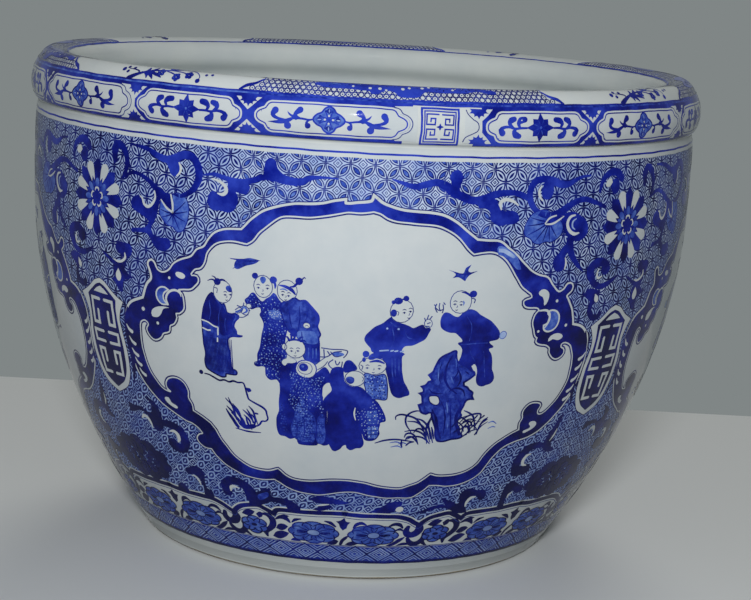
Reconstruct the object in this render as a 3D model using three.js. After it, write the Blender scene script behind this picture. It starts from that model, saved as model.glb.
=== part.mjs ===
// A round porcelain fish bowl jardiniere: a tapered body on a foot ring, under a thick rolled rim.
// The body is thrown in sections that are luted together on level seams and fired as one.
// Millimetres, +Z up. The origin is the centre of the circle that the foot ring stands on.
import * as THREE from 'three';

// Driving dimensions of the body.
const OVERALL_HEIGHT = 289;
const BELLY_RADIUS = 200.5;
const BELLY_HEIGHT = 213;
const FOOT_RADIUS = 127.8;
const FLARE_RUN = 27.2;
const FLARE_RISE = 40;
const BELLY_EASE = 97;
const WALL = 10;

// Driving dimensions of the foot, the floor and the seam between the two walls.
const FOOT_HEIGHT = 8;
const FOOT_TREAD = 10.5;
const FOOT_EDGE = 2.5;
const FOOT_DRAFT = 1.5;
const FLOOR_THICKNESS = 12;
const FLOOR_FILLET = 16;
const WAIST_HEIGHT = 132;

// Driving dimensions of the rim and of the cove under it.
const RIM_OVERHANG = 2.7;
const RIM_HEIGHT = 32;
const LIP_WIDTH = 25.8;
const CREST_INSET = 11.5;
const MOUTH_DROP = 10;
const BULGE_DROP = 19;
const COVE_DEPTH = 1.6;
const COVE_HEIGHT = 2.8;
const COVE_STEP = 3.1;
const SHOULDER_HEIGHT = 17;

// Facets round the axis, steps along each stretch of a profile, and halvings in the search for a height.
const TURN_FACETS = 80;
const WALL_STEPS = 7;
const SHOULDER_STEPS = 3;
const ROUND_STEPS = 5;
const SHORT_STEPS = 3;
const HALVINGS = 50;

// How far the handles of a round stretch reach, as shares of its own run and rise.
const ROUND_SHARE = 0.45;
const SOFT_SHARE = 0.6;

// Glaze and bare clay, each [colour, roughness].
const GLAZE = [0xdfe4e4, 0.14];
const PATTERNED_GLAZE = [0x8e9cc4, 0.14];
const BARE_CLAY = [0xd8d2c2, 0.75];

const RIM_RADIUS = BELLY_RADIUS + RIM_OVERHANG;
const SEAT_HEIGHT = OVERALL_HEIGHT - RIM_HEIGHT;
const FLOOR_HEIGHT = FOOT_HEIGHT + FLOOR_THICKNESS;
const THROAT_RADIUS = BELLY_RADIUS - COVE_DEPTH;
const UPPER_BORE = BELLY_RADIUS - WALL;
const MOUTH_RADIUS = RIM_RADIUS - LIP_WIDTH;

// The outline of the body: it flares from the foot and turns upright at the belly.
const flare = new THREE.CubicBezierCurve(
  new THREE.Vector2(FOOT_RADIUS, 0),
  new THREE.Vector2(FOOT_RADIUS + FLARE_RUN, FLARE_RISE),
  new THREE.Vector2(BELLY_RADIUS, BELLY_HEIGHT - BELLY_EASE),
  new THREE.Vector2(BELLY_RADIUS, BELLY_HEIGHT),
);

// A round stretch of a profile that leaves one point upright and meets the other level, or the reverse.
function quarterRound(from, to, leavesUpright, share) {
  const run = (to.x - from.x) * share;
  const rise = (to.y - from.y) * share;
  const first = leavesUpright
    ? new THREE.Vector2(from.x, from.y + rise)
    : new THREE.Vector2(from.x + run, from.y);
  const second = leavesUpright
    ? new THREE.Vector2(to.x - run, to.y)
    : new THREE.Vector2(to.x, to.y - rise);
  return new THREE.CubicBezierCurve(from, first, second, to);
}

// A stretch that is upright at both its ends.
function ogee(from, to, share) {
  const rise = (to.y - from.y) * share;
  return new THREE.CubicBezierCurve(
    from,
    new THREE.Vector2(from.x, from.y + rise),
    new THREE.Vector2(to.x, to.y - rise),
    to,
  );
}

// The place along a rising curve where it reaches a height, found by halving.
function placeAtHeight(curve, height) {
  let low = 0;
  let high = 1;
  for (let i = 0; i < HALVINGS; i += 1) {
    const middle = (low + high) / 2;
    if (curve.getPoint(middle).y < height) low = middle;
    else high = middle;
  }
  return (low + high) / 2;
}

function outerRadius(height) {
  return height >= BELLY_HEIGHT ? BELLY_RADIUS : flare.getPoint(placeAtHeight(flare, height)).x;
}

// The inside of the wall, square to the outline by the wall's thickness.
function innerRadius(height) {
  if (height >= BELLY_HEIGHT) return UPPER_BORE;
  const tangent = flare.getTangent(placeAtHeight(flare, height));
  return outerRadius(height) - WALL / tangent.y;
}

// Points of one face of the wall, from one height to another.
function wallFace(radiusAt, from, to, steps) {
  const points = [];
  for (let i = 0; i <= steps; i += 1) {
    const height = from + ((to - from) * i) / steps;
    points.push(new THREE.Vector2(radiusAt(height), height));
  }
  return points;
}

// Turns a profile of [radius, height] points round the upright axis.
function turn(profile) {
  return new THREE.LatheGeometry(profile, TURN_FACETS).rotateX(Math.PI / 2);
}

// Turns a ring whose section closes on itself.
function turnRing(section) {
  return turn([...section, section[0].clone()]);
}

// Joins stretches end to end, without the shared ends twice.
function chain(...stretches) {
  const points = [];
  for (const stretch of stretches) {
    const last = points.at(-1);
    points.push(...(last && last.distanceTo(stretch[0]) === 0 ? stretch.slice(1) : stretch));
  }
  return points;
}

function piece(name, geometry, [color, roughness]) {
  const material = new THREE.MeshStandardMaterial({ color, roughness, metalness: 0 });
  material.name = `${name}_finish`;
  const mesh = new THREE.Mesh(geometry, material);
  mesh.name = name;
  return mesh;
}

// The unglazed ring that the bowl stands on, with a flat tread and a rounded outer edge.
function footRing() {
  const treadOuter = FOOT_RADIUS - FOOT_EDGE;
  const treadInner = treadOuter - FOOT_TREAD;
  const edge = quarterRound(
    new THREE.Vector2(treadOuter, 0),
    new THREE.Vector2(outerRadius(FOOT_EDGE), FOOT_EDGE),
    false,
    ROUND_SHARE,
  );
  return turnRing([
    new THREE.Vector2(treadInner - FOOT_DRAFT, FOOT_HEIGHT),
    new THREE.Vector2(treadInner, 0),
    ...edge.getPoints(SHORT_STEPS),
    new THREE.Vector2(outerRadius(FOOT_HEIGHT), FOOT_HEIGHT),
  ]);
}

// The slab that closes the bottom, level above and below.
function baseSlab() {
  return turn([
    new THREE.Vector2(0, FOOT_HEIGHT),
    ...wallFace(outerRadius, FOOT_HEIGHT, FLOOR_HEIGHT, SHORT_STEPS),
    new THREE.Vector2(0, FLOOR_HEIGHT),
  ]);
}

// The flaring lower section, with the round that leads from the floor up into the wall.
function lowerWall() {
  const filletTop = FLOOR_HEIGHT + FLOOR_FILLET;
  const fillet = quarterRound(
    new THREE.Vector2(innerRadius(filletTop), filletTop),
    new THREE.Vector2(innerRadius(FLOOR_HEIGHT) - FLOOR_FILLET, FLOOR_HEIGHT),
    true,
    ROUND_SHARE,
  );
  return turnRing(chain(
    wallFace(outerRadius, FLOOR_HEIGHT, WAIST_HEIGHT, WALL_STEPS),
    wallFace(innerRadius, WAIST_HEIGHT, filletTop, WALL_STEPS),
    fillet.getPoints(ROUND_STEPS),
  ));
}

// The upright upper section, drawn in at its top to the throat of the cove.
function upperWall() {
  const shoulderStart = SEAT_HEIGHT - SHOULDER_HEIGHT;
  const shoulder = quarterRound(
    new THREE.Vector2(BELLY_RADIUS, shoulderStart),
    new THREE.Vector2(THROAT_RADIUS, SEAT_HEIGHT),
    true,
    SOFT_SHARE,
  );
  return turnRing(chain(
    wallFace(outerRadius, WAIST_HEIGHT, shoulderStart, WALL_STEPS),
    shoulder.getPoints(SHOULDER_STEPS),
    wallFace(innerRadius, SEAT_HEIGHT, WAIST_HEIGHT, WALL_STEPS),
  ));
}

// The rolled rim: the cove, the bulging outer band, the rounded lip, and the roll that overhangs inside.
function rimCollar() {
  const throat = new THREE.Vector2(THROAT_RADIUS, SEAT_HEIGHT);
  const bandFoot = new THREE.Vector2(RIM_RADIUS - COVE_STEP, SEAT_HEIGHT + COVE_HEIGHT);
  const bulge = new THREE.Vector2(RIM_RADIUS, OVERALL_HEIGHT - BULGE_DROP);
  const crest = new THREE.Vector2(RIM_RADIUS - CREST_INSET, OVERALL_HEIGHT);
  const mouth = new THREE.Vector2(MOUTH_RADIUS, OVERALL_HEIGHT - MOUTH_DROP);
  const bore = new THREE.Vector2(UPPER_BORE, SEAT_HEIGHT);
  return turnRing(chain(
    quarterRound(throat, bandFoot, true, ROUND_SHARE).getPoints(SHORT_STEPS),
    quarterRound(bandFoot, bulge, false, ROUND_SHARE).getPoints(SHORT_STEPS),
    quarterRound(bulge, crest, true, ROUND_SHARE).getPoints(ROUND_STEPS),
    quarterRound(crest, mouth, false, SOFT_SHARE).getPoints(ROUND_STEPS),
    ogee(mouth, bore, SOFT_SHARE).getPoints(ROUND_STEPS),
  ));
}

const group = new THREE.Group();
group.add(
  piece('foot_ring', footRing(), BARE_CLAY),
  piece('base_slab', baseSlab(), GLAZE),
  piece('lower_wall', lowerWall(), PATTERNED_GLAZE),
  piece('upper_wall', upperWall(), PATTERNED_GLAZE),
  piece('rim_collar', rimCollar(), PATTERNED_GLAZE),
);

export default group;
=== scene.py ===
import math

import bpy
import numpy as np
from mathutils import Matrix, Vector
from mathutils.geometry import delaunay_2d_cdt


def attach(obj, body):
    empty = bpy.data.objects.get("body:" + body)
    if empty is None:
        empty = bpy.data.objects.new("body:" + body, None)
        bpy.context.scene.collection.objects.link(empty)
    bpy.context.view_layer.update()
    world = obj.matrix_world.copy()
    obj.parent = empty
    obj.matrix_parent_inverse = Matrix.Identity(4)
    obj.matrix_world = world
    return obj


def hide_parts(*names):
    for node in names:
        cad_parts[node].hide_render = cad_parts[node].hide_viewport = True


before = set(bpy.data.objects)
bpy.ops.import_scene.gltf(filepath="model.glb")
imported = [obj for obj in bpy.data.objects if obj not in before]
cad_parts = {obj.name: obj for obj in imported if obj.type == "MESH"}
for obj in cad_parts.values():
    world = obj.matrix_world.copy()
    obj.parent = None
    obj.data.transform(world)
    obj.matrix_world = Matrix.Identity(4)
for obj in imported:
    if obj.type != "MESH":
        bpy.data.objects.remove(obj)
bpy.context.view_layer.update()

# The decoration is drawn on the outline of the bowl unrolled: x runs round the belly to the right and
# v runs down the outside from the thin line under the rim, both in millimetres.
MM = 0.001
DEGREE = math.radians(200)
TURN = 360 * DEGREE
LINE_HEIGHT = 254.2

# The profile of the outside, as in the CAD source, [radius, height].
BORE, MOUTH, CREST = (190.5, 257), (177.4, 279), (191.7, 289)
BULGE, BAND, THROAT = (203.2, 270), (200.1, 259.8), (198.9, 257)
SHOULDER, BELLY, FOOT = (200.5, 240), (200.5, 213), (127.8, 0)
FLARE = (FOOT, (155, 40), (200.5, 116), BELLY)
WALL = 10
# The seams between the solids, and the foot's recess, tread and edge, as there.
FOOT_TOP, FLOOR, WAIST, SEAT = 8, 20, 132, THROAT[1]
RECESS, TREAD_IN, TREAD_OUT, FOOT_EDGE = (113.3, FOOT_TOP), (114.8, 0), (125.3, 0), 2.5
FLOOR_FILLET = 16
# How far along its run and rise the handles of a round reach.
ROUND, SOFT = 0.45, 0.6

# Depths of the painted layers under the CAD surface, from the glaze of the skin up to the topmost strokes.
SKIN = -0.40
BED, LAYER = -0.355, 0.045


def lift_of(level):
    """How far a layer of the painting lies from the outline; the whites are under the inks."""
    return BED + LAYER * level


def cubic(t, a, b, c, d):
    return (1 - t) ** 3 * a + 3 * (1 - t) ** 2 * t * b + 3 * (1 - t) * t * t * c + t**3 * d


def bezier(ends, count=60):
    return cubic(np.linspace(0, 1, count + 1)[:, None], *np.array(ends, float))


def quarter_round(a, b, leaves_upright, share):
    """The handles of a quarter round from a to b."""
    run, rise = (b[0] - a[0]) * share, (b[1] - a[1]) * share
    if leaves_upright:
        return (a, (a[0], a[1] + rise), (b[0] - run, b[1]), b)
    return (a, (a[0] + run, a[1]), (b[0], b[1] - rise), b)


def ogee(a, b, share):
    """The handles of a curve that is upright at both ends."""
    rise = (b[1] - a[1]) * share
    return (a, (a[0], a[1] + rise), (b[0], b[1] - rise), b)


def tangents(points):
    steps = np.gradient(points, axis=0)
    return steps / np.linalg.norm(steps, axis=1)[:, None]


# The outside in smooth stretches, from the bore over the rim and down to the foot.
STRETCHES = [
    bezier(ogee(MOUTH, BORE, SOFT))[::-1],
    bezier(quarter_round(CREST, MOUTH, False, SOFT))[::-1],
    bezier(quarter_round(BULGE, CREST, True, ROUND))[::-1],
    bezier(quarter_round(BAND, BULGE, False, ROUND))[::-1],
    bezier(quarter_round(THROAT, BAND, True, ROUND), 20)[::-1],
    bezier(quarter_round(SHOULDER, THROAT, True, SOFT))[::-1],
    np.linspace(SHOULDER, BELLY, 30),
    bezier(FLARE, 200)[::-1],
]
OUTLINE = np.concatenate(STRETCHES)
SLOPE = np.concatenate([tangents(s) for s in STRETCHES])
ALONG = np.concatenate([[0], np.cumsum(np.hypot(*np.diff(OUTLINE, axis=0).T) + 1e-7)])
THROAT_AT = sum(len(s) for s in STRETCHES[:5])
UNDER_RIM = slice(THROAT_AT, THROAT_AT + 60)
ALONG -= np.interp(-LINE_HEIGHT, -OUTLINE[UNDER_RIM, 1], ALONG[UNDER_RIM])
V_THROAT = float(ALONG[THROAT_AT])


def radius_at(v):
    return np.interp(v, ALONG, OUTLINE[:, 0])


def stretch_at(v):
    """How many millimetres of x make one true millimetre at v."""
    return 200 / radius_at(v)


def on_surface(x, v, lift):
    """Places and outward directions of painted points, in metres."""
    turn = np.asarray(x) / DEGREE * math.pi / 180
    tr, tz = (np.interp(v, ALONG, SLOPE[:, i]) for i in (0, 1))
    size = np.hypot(tr, tz)
    nr, nz = -tz / size, tr / size
    r = radius_at(v) + nr * lift
    z = np.interp(v, ALONG, OUTLINE[:, 1]) + nz * lift
    s, c = np.sin(turn), np.cos(turn)
    return np.stack([r * s, -r * c, z], 1) * MM, np.stack([nr * s, -nr * c, nz], 1)


# ---------------------------------------------------------------- drawing kit


def read(text):
    """Points written as "x,v", with "!" after a corner."""
    points, corners = [], []
    for word in text.split():
        corners.append(word.endswith("!"))
        points.append([float(n) for n in word.rstrip("!").split(",")])
    return np.array(points), corners


def written(points, digits=3, corner=""):
    """The text of some points, all of them corners or none."""
    return " ".join(f"{x:.{digits}f},{v:.{digits}f}{corner}" for x, v in points)


def changed(text, change):
    """The text with change(x, v) done to each point, its corners kept."""
    points, corners = read(text)
    return " ".join(written([change(*point)]) + "!" * corner for point, corner in zip(points, corners))


def spokes(count, offset=0.0):
    """The sine and cosine of as many turns, spread evenly round a circle."""
    for k in range(count):
        turn = (k + offset) * math.tau / count
        yield math.sin(turn), math.cos(turn)


def smooth(points, corners, closed, step):
    """A curve through the points, and how far along them each sample lies."""
    count = len(points)
    ahead, behind = np.roll(points, -1, 0), np.roll(points, 1, 0)
    if not closed:
        ahead[-1], behind[0] = points[-1], points[0]
    lean = unit_vectors(ahead - behind)
    found, places = [], []
    for i in range(count if closed else count - 1):
        j = (i + 1) % count
        a, b = points[i], points[j]
        length = max(math.dist(a, b), 1e-9)
        chord = (b - a) / length
        leave = chord if corners[i] else lean[i]
        reach = chord if corners[j] else lean[j]
        steps = max(1, math.ceil(length / step))
        t = (np.arange(steps) / steps)[:, None]
        found.append(cubic(t, a, a + leave * length / 3, b - reach * length / 3, b))
        places.append(i + t[:, 0])
    if not closed:
        found.append(points[-1:])
        places.append([count - 1])
    return np.concatenate(found), np.concatenate(places)


def inside(points, loops):
    """Whether each point is inside an odd number of the loops."""
    odd = np.zeros(len(points), bool)
    x, y = points[:, 0][:, None], points[:, 1][:, None]
    for loop in loops:
        ax, ay = loop[:, 0], loop[:, 1]
        bx, by = np.roll(ax, -1), np.roll(ay, -1)
        rise = np.where(by == ay, 1e-12, by - ay)
        crosses = ((ay > y) != (by > y)) & (x < ax + (bx - ax) * (y - ay) / rise)
        odd ^= crosses.sum(1) % 2 == 1
    return odd


def nearest(points, others):
    """The distance from each point to the nearest of the others."""
    far = np.full(len(points), np.inf)
    for start in range(0, len(others), 200):
        block = others[start : start + 200]
        far = np.minimum(far, np.hypot(*(points[:, None] - block[None]).transpose(2, 0, 1)).min(1))
    return far


def triangulate(loops, grid):
    """Corners and faces between closed loops, with corners inside on a grid, so that a shape follows the bowl."""
    points = np.concatenate(loops)
    edges, start = [], 0
    for loop in loops:
        count = len(loop)
        edges += [(start + i, start + (i + 1) % count) for i in range(count)]
        start += count
    gx, gv = grid
    low, high = points.min(0), points.max(0)
    if high[0] - low[0] > gx or high[1] - low[1] > gv:
        xs, vs = np.arange(low[0] + gx / 2, high[0], gx), np.arange(low[1] + gv / 2, high[1], gv)
        if len(xs) and len(vs):
            mx, mv = np.meshgrid(xs, vs)
            mx = mx + (np.arange(len(vs)) % 2)[:, None] * gx / 2
            extra = np.stack([mx.ravel(), mv.ravel()], 1)
            extra = extra[inside(extra, loops)]
            if len(extra):
                scale = np.array([1 / gx, 1 / gv])
                extra = extra[nearest(extra * scale, points * scale) > CLEAR]
                points = np.concatenate([points, extra])
    made = delaunay_2d_cdt([Vector(p) for p in points], edges, [], 0, 1e-5, False)
    corners, faces = np.array([p[:] for p in made[0]]), np.array(made[2])
    keep = inside(corners[faces].mean(1), loops)
    return corners, faces[keep]


def fan(centre, ring):
    """The points and faces from a centre to a closed ring."""
    count = len(ring)
    return np.concatenate([[centre], ring]), [(0, 1 + i, 1 + (i + 1) % count) for i in range(count)]


def between(out, back, closed=True):
    """The points and faces between two lines of as many points."""
    count = len(out)
    faces = []
    for i in range(count if closed else count - 1):
        j = (i + 1) % count
        faces += [(i, j, count + j), (i, count + j, count + i)]
    return np.concatenate([out, back]), faces


def circle(count):
    """Points round a circle of radius 1."""
    a = np.arange(count) / count * math.tau
    return np.stack([np.cos(a), np.sin(a)], 1)


def unit_vectors(vectors):
    """Each vector made 1 long, or left at 0."""
    return vectors / np.maximum(np.hypot(*vectors.T), 1e-9)[:, None]


class Sheet:
    """The thin painted shapes of one colour and zone, which become one mesh."""

    def __init__(self):
        self.points, self.lifts, self.faces, self.count = [], [], [], 0

    def add(self, points, faces, lift):
        if len(faces):
            self.points.append(np.asarray(points, float))
            self.lifts.append(np.broadcast_to(lift, len(points)))
            self.faces.append(np.asarray(faces) + self.count)
            self.count += len(points)


SHEETS = {}
# A stroke's widest corner, as a share of its width, and the half width from which its ends are round.
MITER_LIMIT, ROUND_END = 1.8, 0.35
# Points nearer than this share of an inset are knots; grid points nearer an edge than this share are left out.
KNOT, CLEAR = 0.93, 0.4


def sheet(ink):
    """The sheet of an ink, whose name says its zone after an underscore."""
    return SHEETS.setdefault(ink, Sheet())


class Pen:
    """Draws with one set of units and one place: shift and flip turn motifs round the bowl.

    A level says how many layers of paint lie under a stroke, and texts are points as read() takes them.
    """

    def __init__(self, unit=1.0, shift=0.0, flip=1, scale=1.0, down=0.0, sense=1, step=1.6, grid=(5, 5), zone=""):
        self.unit, self.shift, self.flip, self.scale = unit, shift, flip, scale
        self.down, self.sense, self.step, self.grid, self.zone = down, sense, step, grid, zone

    def place(self, points):
        points = np.array(points, float)
        x = self.shift + self.flip * self.scale * self.unit * points[:, 0]
        return np.stack([x, self.down + self.sense * points[:, 1]], 1)

    def line(self, text, closed=False):
        points, corners = read(text) if isinstance(text, str) else (np.array(text, float), [False] * len(text))
        return smooth(self.place(points), corners, closed, self.step)

    def fill(self, ink, level, *texts):
        loops = [self.line(text, True)[0] for text in texts]
        sheet(ink + self.zone).add(*triangulate(loops, self.grid), lift_of(level))
        return loops

    def stroke(self, ink, level, text, widths=1.0, closed=False):
        path, place = self.line(text, closed)
        self.ribbon(ink, level, path, place, widths, closed)

    def strokes(self, ink, level, widths, *texts):
        for text in texts:
            self.stroke(ink, level, text, widths)

    def outlined(self, ink, level, text, edge, width):
        """A filled shape with a line along its edge, a level up."""
        self.fill(ink, level, text)
        self.stroke(edge, level + 1, text, width, closed=True)

    def edge(self, ink, level, loop, width):
        """A line of one width along a loop that is drawn already."""
        self.ribbon(ink, level, loop, np.arange(float(len(loop))), width, True)

    def ribbon(self, ink, level, path, place, widths, closed):
        """A stroke along a path, whose widths are spread evenly over the places along it."""
        widths = np.atleast_1d(np.array(widths, float))
        share = place / max(place[-1], 1e-9) * (len(widths) - 1)
        half = np.interp(share, np.arange(len(widths)), widths) / 2
        stretch = stretch_at(path[:, 1])
        true = np.stack([path[:, 0] / stretch, path[:, 1]], 1)
        if closed:
            ahead, behind = np.roll(true, -1, 0) - true, true - np.roll(true, 1, 0)
            ahead[:, 0] = (np.roll(path[:, 0], -1) - path[:, 0]) / stretch
            behind[:, 0] = (path[:, 0] - np.roll(path[:, 0], 1)) / stretch
        else:
            ahead, behind = np.empty_like(true), np.empty_like(true)
            ahead[:-1] = np.diff(path, axis=0) / np.stack([stretch[:-1], np.ones(len(path) - 1)], 1)
            behind[1:] = ahead[:-1]
            ahead[-1], behind[0] = ahead[-2], ahead[0]
        side = unit_vectors(ahead) + unit_vectors(behind)
        size = np.maximum(np.hypot(side[:, 0], side[:, 1]), 1e-6)
        side /= size[:, None]
        miter = np.minimum(2 / size, MITER_LIMIT)
        off = np.stack([-side[:, 1] * stretch, side[:, 0]], 1) * (half * miter)[:, None]
        sheet(ink + self.zone).add(*between(path + off, path - off, closed), lift_of(level))
        if not closed:
            for at in (0, -1):
                if half[at] > ROUND_END:
                    self.disc(ink, level, path[at], half[at], half[at])

    def disc(self, ink, level, centre, rx, rv):
        count = 8 if max(rx, rv) < 0.8 else 12 if max(rx, rv) < 2.5 else 20
        ring = centre + circle(count) * [rx * stretch_at(centre[1]), rv]
        sheet(ink + self.zone).add(*fan(centre, ring), lift_of(level))

    def dot(self, ink, level, x, v, rx, rv=None):
        self.disc(ink, level, self.place([(x, v)])[0], rx, rx if rv is None else rv)

    def dots(self, ink, level, *places):
        for place in places:
            self.dot(ink, level, *place)

    def ring(self, ink, level, x, v, rx, rv, width):
        centre = self.place([(x, v)])[0]
        self.edge(ink, level, centre + circle(16) * [rx * stretch_at(centre[1]), rv], width)

    def ringed(self, level, x, v, rx, rv, width, ink="white", edge="fine"):
        """A dot with a line round it, half a level up."""
        self.dot(ink, level, x, v, rx, rv)
        self.ring(edge, level + 0.5, x, v, rx, rv, width)

    def band(self, ink, level, v0, v1, x0, x1):
        """A strip between two levels, part of the way round."""
        rows = max(1, math.ceil(abs(v1 - v0) / self.grid[1]))
        count = max(1, math.ceil(abs(x1 - x0) * self.unit * 360 / TURN))
        points = self.place([
            (x0 + (x1 - x0) * i / count, v0 + (v1 - v0) * j / rows) for j in range(rows + 1) for i in range(count + 1)
        ])
        faces = []
        for j in range(rows):
            for i in range(count):
                a = j * (count + 1) + i
                faces += [(a, a + 1, a + count + 2), (a, a + count + 2, a + count + 1)]
        sheet(ink + self.zone).add(points, faces, lift_of(level))

    def belt(self, ink, level, v0, v1):
        """A strip right round the bowl."""
        self.band(ink, level, v0, v1, 0, TURN / self.unit)


def inset(loop, distance):
    """The loop moved inward, without the knots that tight corners make."""
    ahead = unit_vectors(np.roll(loop, -1, 0) - np.roll(loop, 1, 0))
    aside = np.stack([-ahead[:, 1], ahead[:, 0]], 1) * distance
    moved = loop + aside if inside((loop + aside)[:1], [loop])[0] else loop - aside
    return moved[nearest(moved, loop) > distance * KNOT]


def tremble(points):
    """The small unevenness of a brush held by hand, the same all the way round."""
    x, v = points[:, 0] / TURN * math.tau, points[:, 1]
    dx = 0.10 * np.sin(37 * x + v * 0.21) + 0.07 * np.sin(91 * x - v * 0.47) + 0.05 * np.sin(v * 0.9 + 13 * x)
    dv = 0.10 * np.sin(43 * x - v * 0.17) + 0.07 * np.sin(83 * x + v * 0.39)
    return points + np.stack([dx, dv], 1)


def add_object(name, data):
    obj = bpy.data.objects.new(name, data)
    bpy.context.scene.collection.objects.link(obj)
    return obj


def add_piece(name, points, faces, outward, material, replaced=None):
    """A mesh with the given outward directions, which rides on the root and may replace a CAD node."""
    mesh = bpy.data.meshes.new(name)
    mesh.from_pydata(points, [], faces)
    mesh.polygons.foreach_set("use_smooth", np.ones(len(faces), bool))
    mesh.normals_split_custom_set_from_vertices(outward)
    mesh.materials.append(material)
    obj = add_object(name, mesh)
    if replaced:
        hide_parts(replaced)
    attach(obj, "root")


def build_sheet(name, made, material):
    points = np.concatenate(made.points)
    faces = np.concatenate(made.faces)
    corner = points[faces]
    first, second = corner[:, 1] - corner[:, 0], corner[:, 2] - corner[:, 0]
    turned = first[:, 0] * second[:, 1] - first[:, 1] * second[:, 0]
    faces = faces[np.abs(turned) > 1e-9]
    turned = turned[np.abs(turned) > 1e-9]
    faces[turned > 0] = faces[turned > 0][:, ::-1]
    points = tremble(points)
    places, outward = on_surface(points[:, 0], points[:, 1], np.concatenate(made.lifts))
    add_piece(name, places, faces.tolist(), outward, material)


# ---------------------------------------------------------------- skins

LATHE_FACETS = 360


def lathe(name, stretches, material, replaced):
    """Turns stretches of [radius, height], joined end to end round a section, with clean round normals."""
    count = LATHE_FACETS
    turn = np.arange(count) / count * math.tau
    s, c = np.sin(turn), np.cos(turn)
    points, faces, normals = [], [], []
    for stretch in stretches:
        base = len(points) * count
        for (r, z), (tr, tz) in zip(stretch, tangents(stretch)):
            points.append(np.stack([r * s, -r * c, np.full(count, z)], 1) * MM)
            normals.append(np.stack([-tz * s, tz * c, np.full(count, tr)], 1))
        for j in range(len(stretch) - 1):
            a, b = base + j * count, base + (j + 1) * count
            for i in range(count):
                k = (i + 1) % count
                faces.append((a + i, b + i, b + k, a + k))
    add_piece(name, np.concatenate(points), faces, np.concatenate(normals), material, replaced)


def section(v, lift):
    """The outside at places along it, moved out by lift, as [radius, height]."""
    places, _ = on_surface(np.zeros(len(v)), v, lift)
    return np.stack([-places[:, 1], places[:, 2]], 1) / MM


def cut(height_high, height_low, rows):
    """The outside of the skin between two heights, going down."""
    at = np.arange(len(OUTLINE)) >= THROAT_AT
    high, low = np.interp([-height_high, -height_low], -OUTLINE[at, 1], ALONG[at])
    made = section(np.linspace(high, low, rows), SKIN)
    made[0, 1], made[-1, 1] = height_high, height_low
    return made


def bore(height):
    """The inside of the wall, square to the outline by the wall's thickness."""
    points = bezier(FLARE, 400)
    slope = tangents(points)
    r, tz = np.interp(height, points[:, 1], points[:, 0]), np.interp(height, points[:, 1], slope[:, 1])
    return np.where(np.asarray(height) >= BELLY[1], BELLY[0] - WALL, r - WALL / tz)


def bore_points(low, high, rows):
    heights = np.linspace(low, high, rows)
    return np.stack([bore(heights), heights], 1)


def straight(*ends):
    return np.array(ends, float)


# ---------------------------------------------------------------- finishes

ROUGHNESS, GLAZE_SPECULAR = (0.07, 0.13), 0.17
# From a panel's middle to an emblem, as a share of a turn.
EIGHTH = 0.125


def shade(r, g, b):
    """A screen colour as Blender's linear one."""
    return tuple(((n / 255 + 0.055) / 1.055) ** 2.4 if n > 10 else n / 255 / 12.92 for n in (r, g, b)) + (1,)


def node(tree, kind, inputs=(), **settings):
    """Adds a node. An input is linked where its value is an output of another node, and otherwise set."""
    made = tree.nodes.new(kind)
    for key, value in settings.items():
        setattr(made, key, value)
    for key, value in dict(inputs).items():
        if isinstance(value, bpy.types.NodeSocket):
            tree.links.new(value, made.inputs[key])
        else:
            made.inputs[key].default_value = value
    return made


def ramp(tree, level, stops):
    """The colours of [place, colour] stops, by level."""
    made = node(tree, "ShaderNodeValToRGB", {"Fac": level})
    elements = made.color_ramp.elements
    while len(elements) < len(stops):
        elements.new(0.5)
    for element, (place, colour) in zip(elements, stops):
        element.position, element.color = place, shade(*colour)
    return made.outputs["Color"]


def glazed(name, stops, spread, rise=0.0, side=0.0):
    """A glossy glaze over clouded colour. stops are [place, colour] along the clouding.

    rise lightens the colour up the bowl, side deepens it from each panel's middle to the emblems.
    """
    material = bpy.data.materials.new(name)
    material.use_nodes = True
    tree = material.node_tree
    shader = tree.nodes["Principled BSDF"]
    where = node(tree, "ShaderNodeTexCoord").outputs["Object"]
    cloud = node(tree, "ShaderNodeTexNoise", {"Vector": where, "Scale": spread, "Detail": 4, "Roughness": 0.6})
    level = cloud.outputs["Fac"]
    if rise:
        height = node(tree, "ShaderNodeSeparateXYZ", {"Vector": where}).outputs["Z"]
        climb = node(tree, "ShaderNodeMapRange", {
            "Value": height, "From Min": FLOOR * MM, "From Max": SEAT * MM, "To Min": -0.25 * rise, "To Max": rise})
        total = node(tree, "ShaderNodeMath", {0: level, 1: climb.outputs["Result"]}, operation="ADD")
        level = total.outputs["Value"]
    if side:
        turn = node(tree, "ShaderNodeTexGradient", {"Vector": where}, gradient_type="RADIAL")
        fold = node(tree, "ShaderNodeMath", {0: turn.outputs["Fac"], 1: EIGHTH}, operation="PINGPONG")
        darker = {0: fold.outputs["Value"], 1: -side / EIGHTH, 2: level}
        level = node(tree, "ShaderNodeMath", darker, operation="MULTIPLY_ADD").outputs["Value"]
    tree.links.new(ramp(tree, level, stops), shader.inputs["Base Color"])
    haze = node(tree, "ShaderNodeTexNoise", {"Vector": where, "Scale": 28, "Detail": 3})
    low, high = ROUGHNESS
    rough = node(tree, "ShaderNodeMapRange", {"Value": haze.outputs["Fac"], "To Min": low, "To Max": high})
    tree.links.new(rough.outputs["Result"], shader.inputs["Roughness"])
    peel = node(tree, "ShaderNodeTexNoise", {"Vector": where, "Scale": 110, "Detail": 2})
    relief = node(tree, "ShaderNodeBump", {"Strength": 0.1, "Distance": 0.0006, "Height": peel.outputs["Fac"]})
    tree.links.new(relief.outputs["Normal"], shader.inputs["Normal"])
    shader.inputs["Specular IOR Level"].default_value = GLAZE_SPECULAR
    return material


GLAZE = glazed("porcelain_glaze", [(0.3, (192, 200, 202)), (0.55, (204, 210, 209)), (0.75, (197, 205, 208))], 14)
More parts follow.
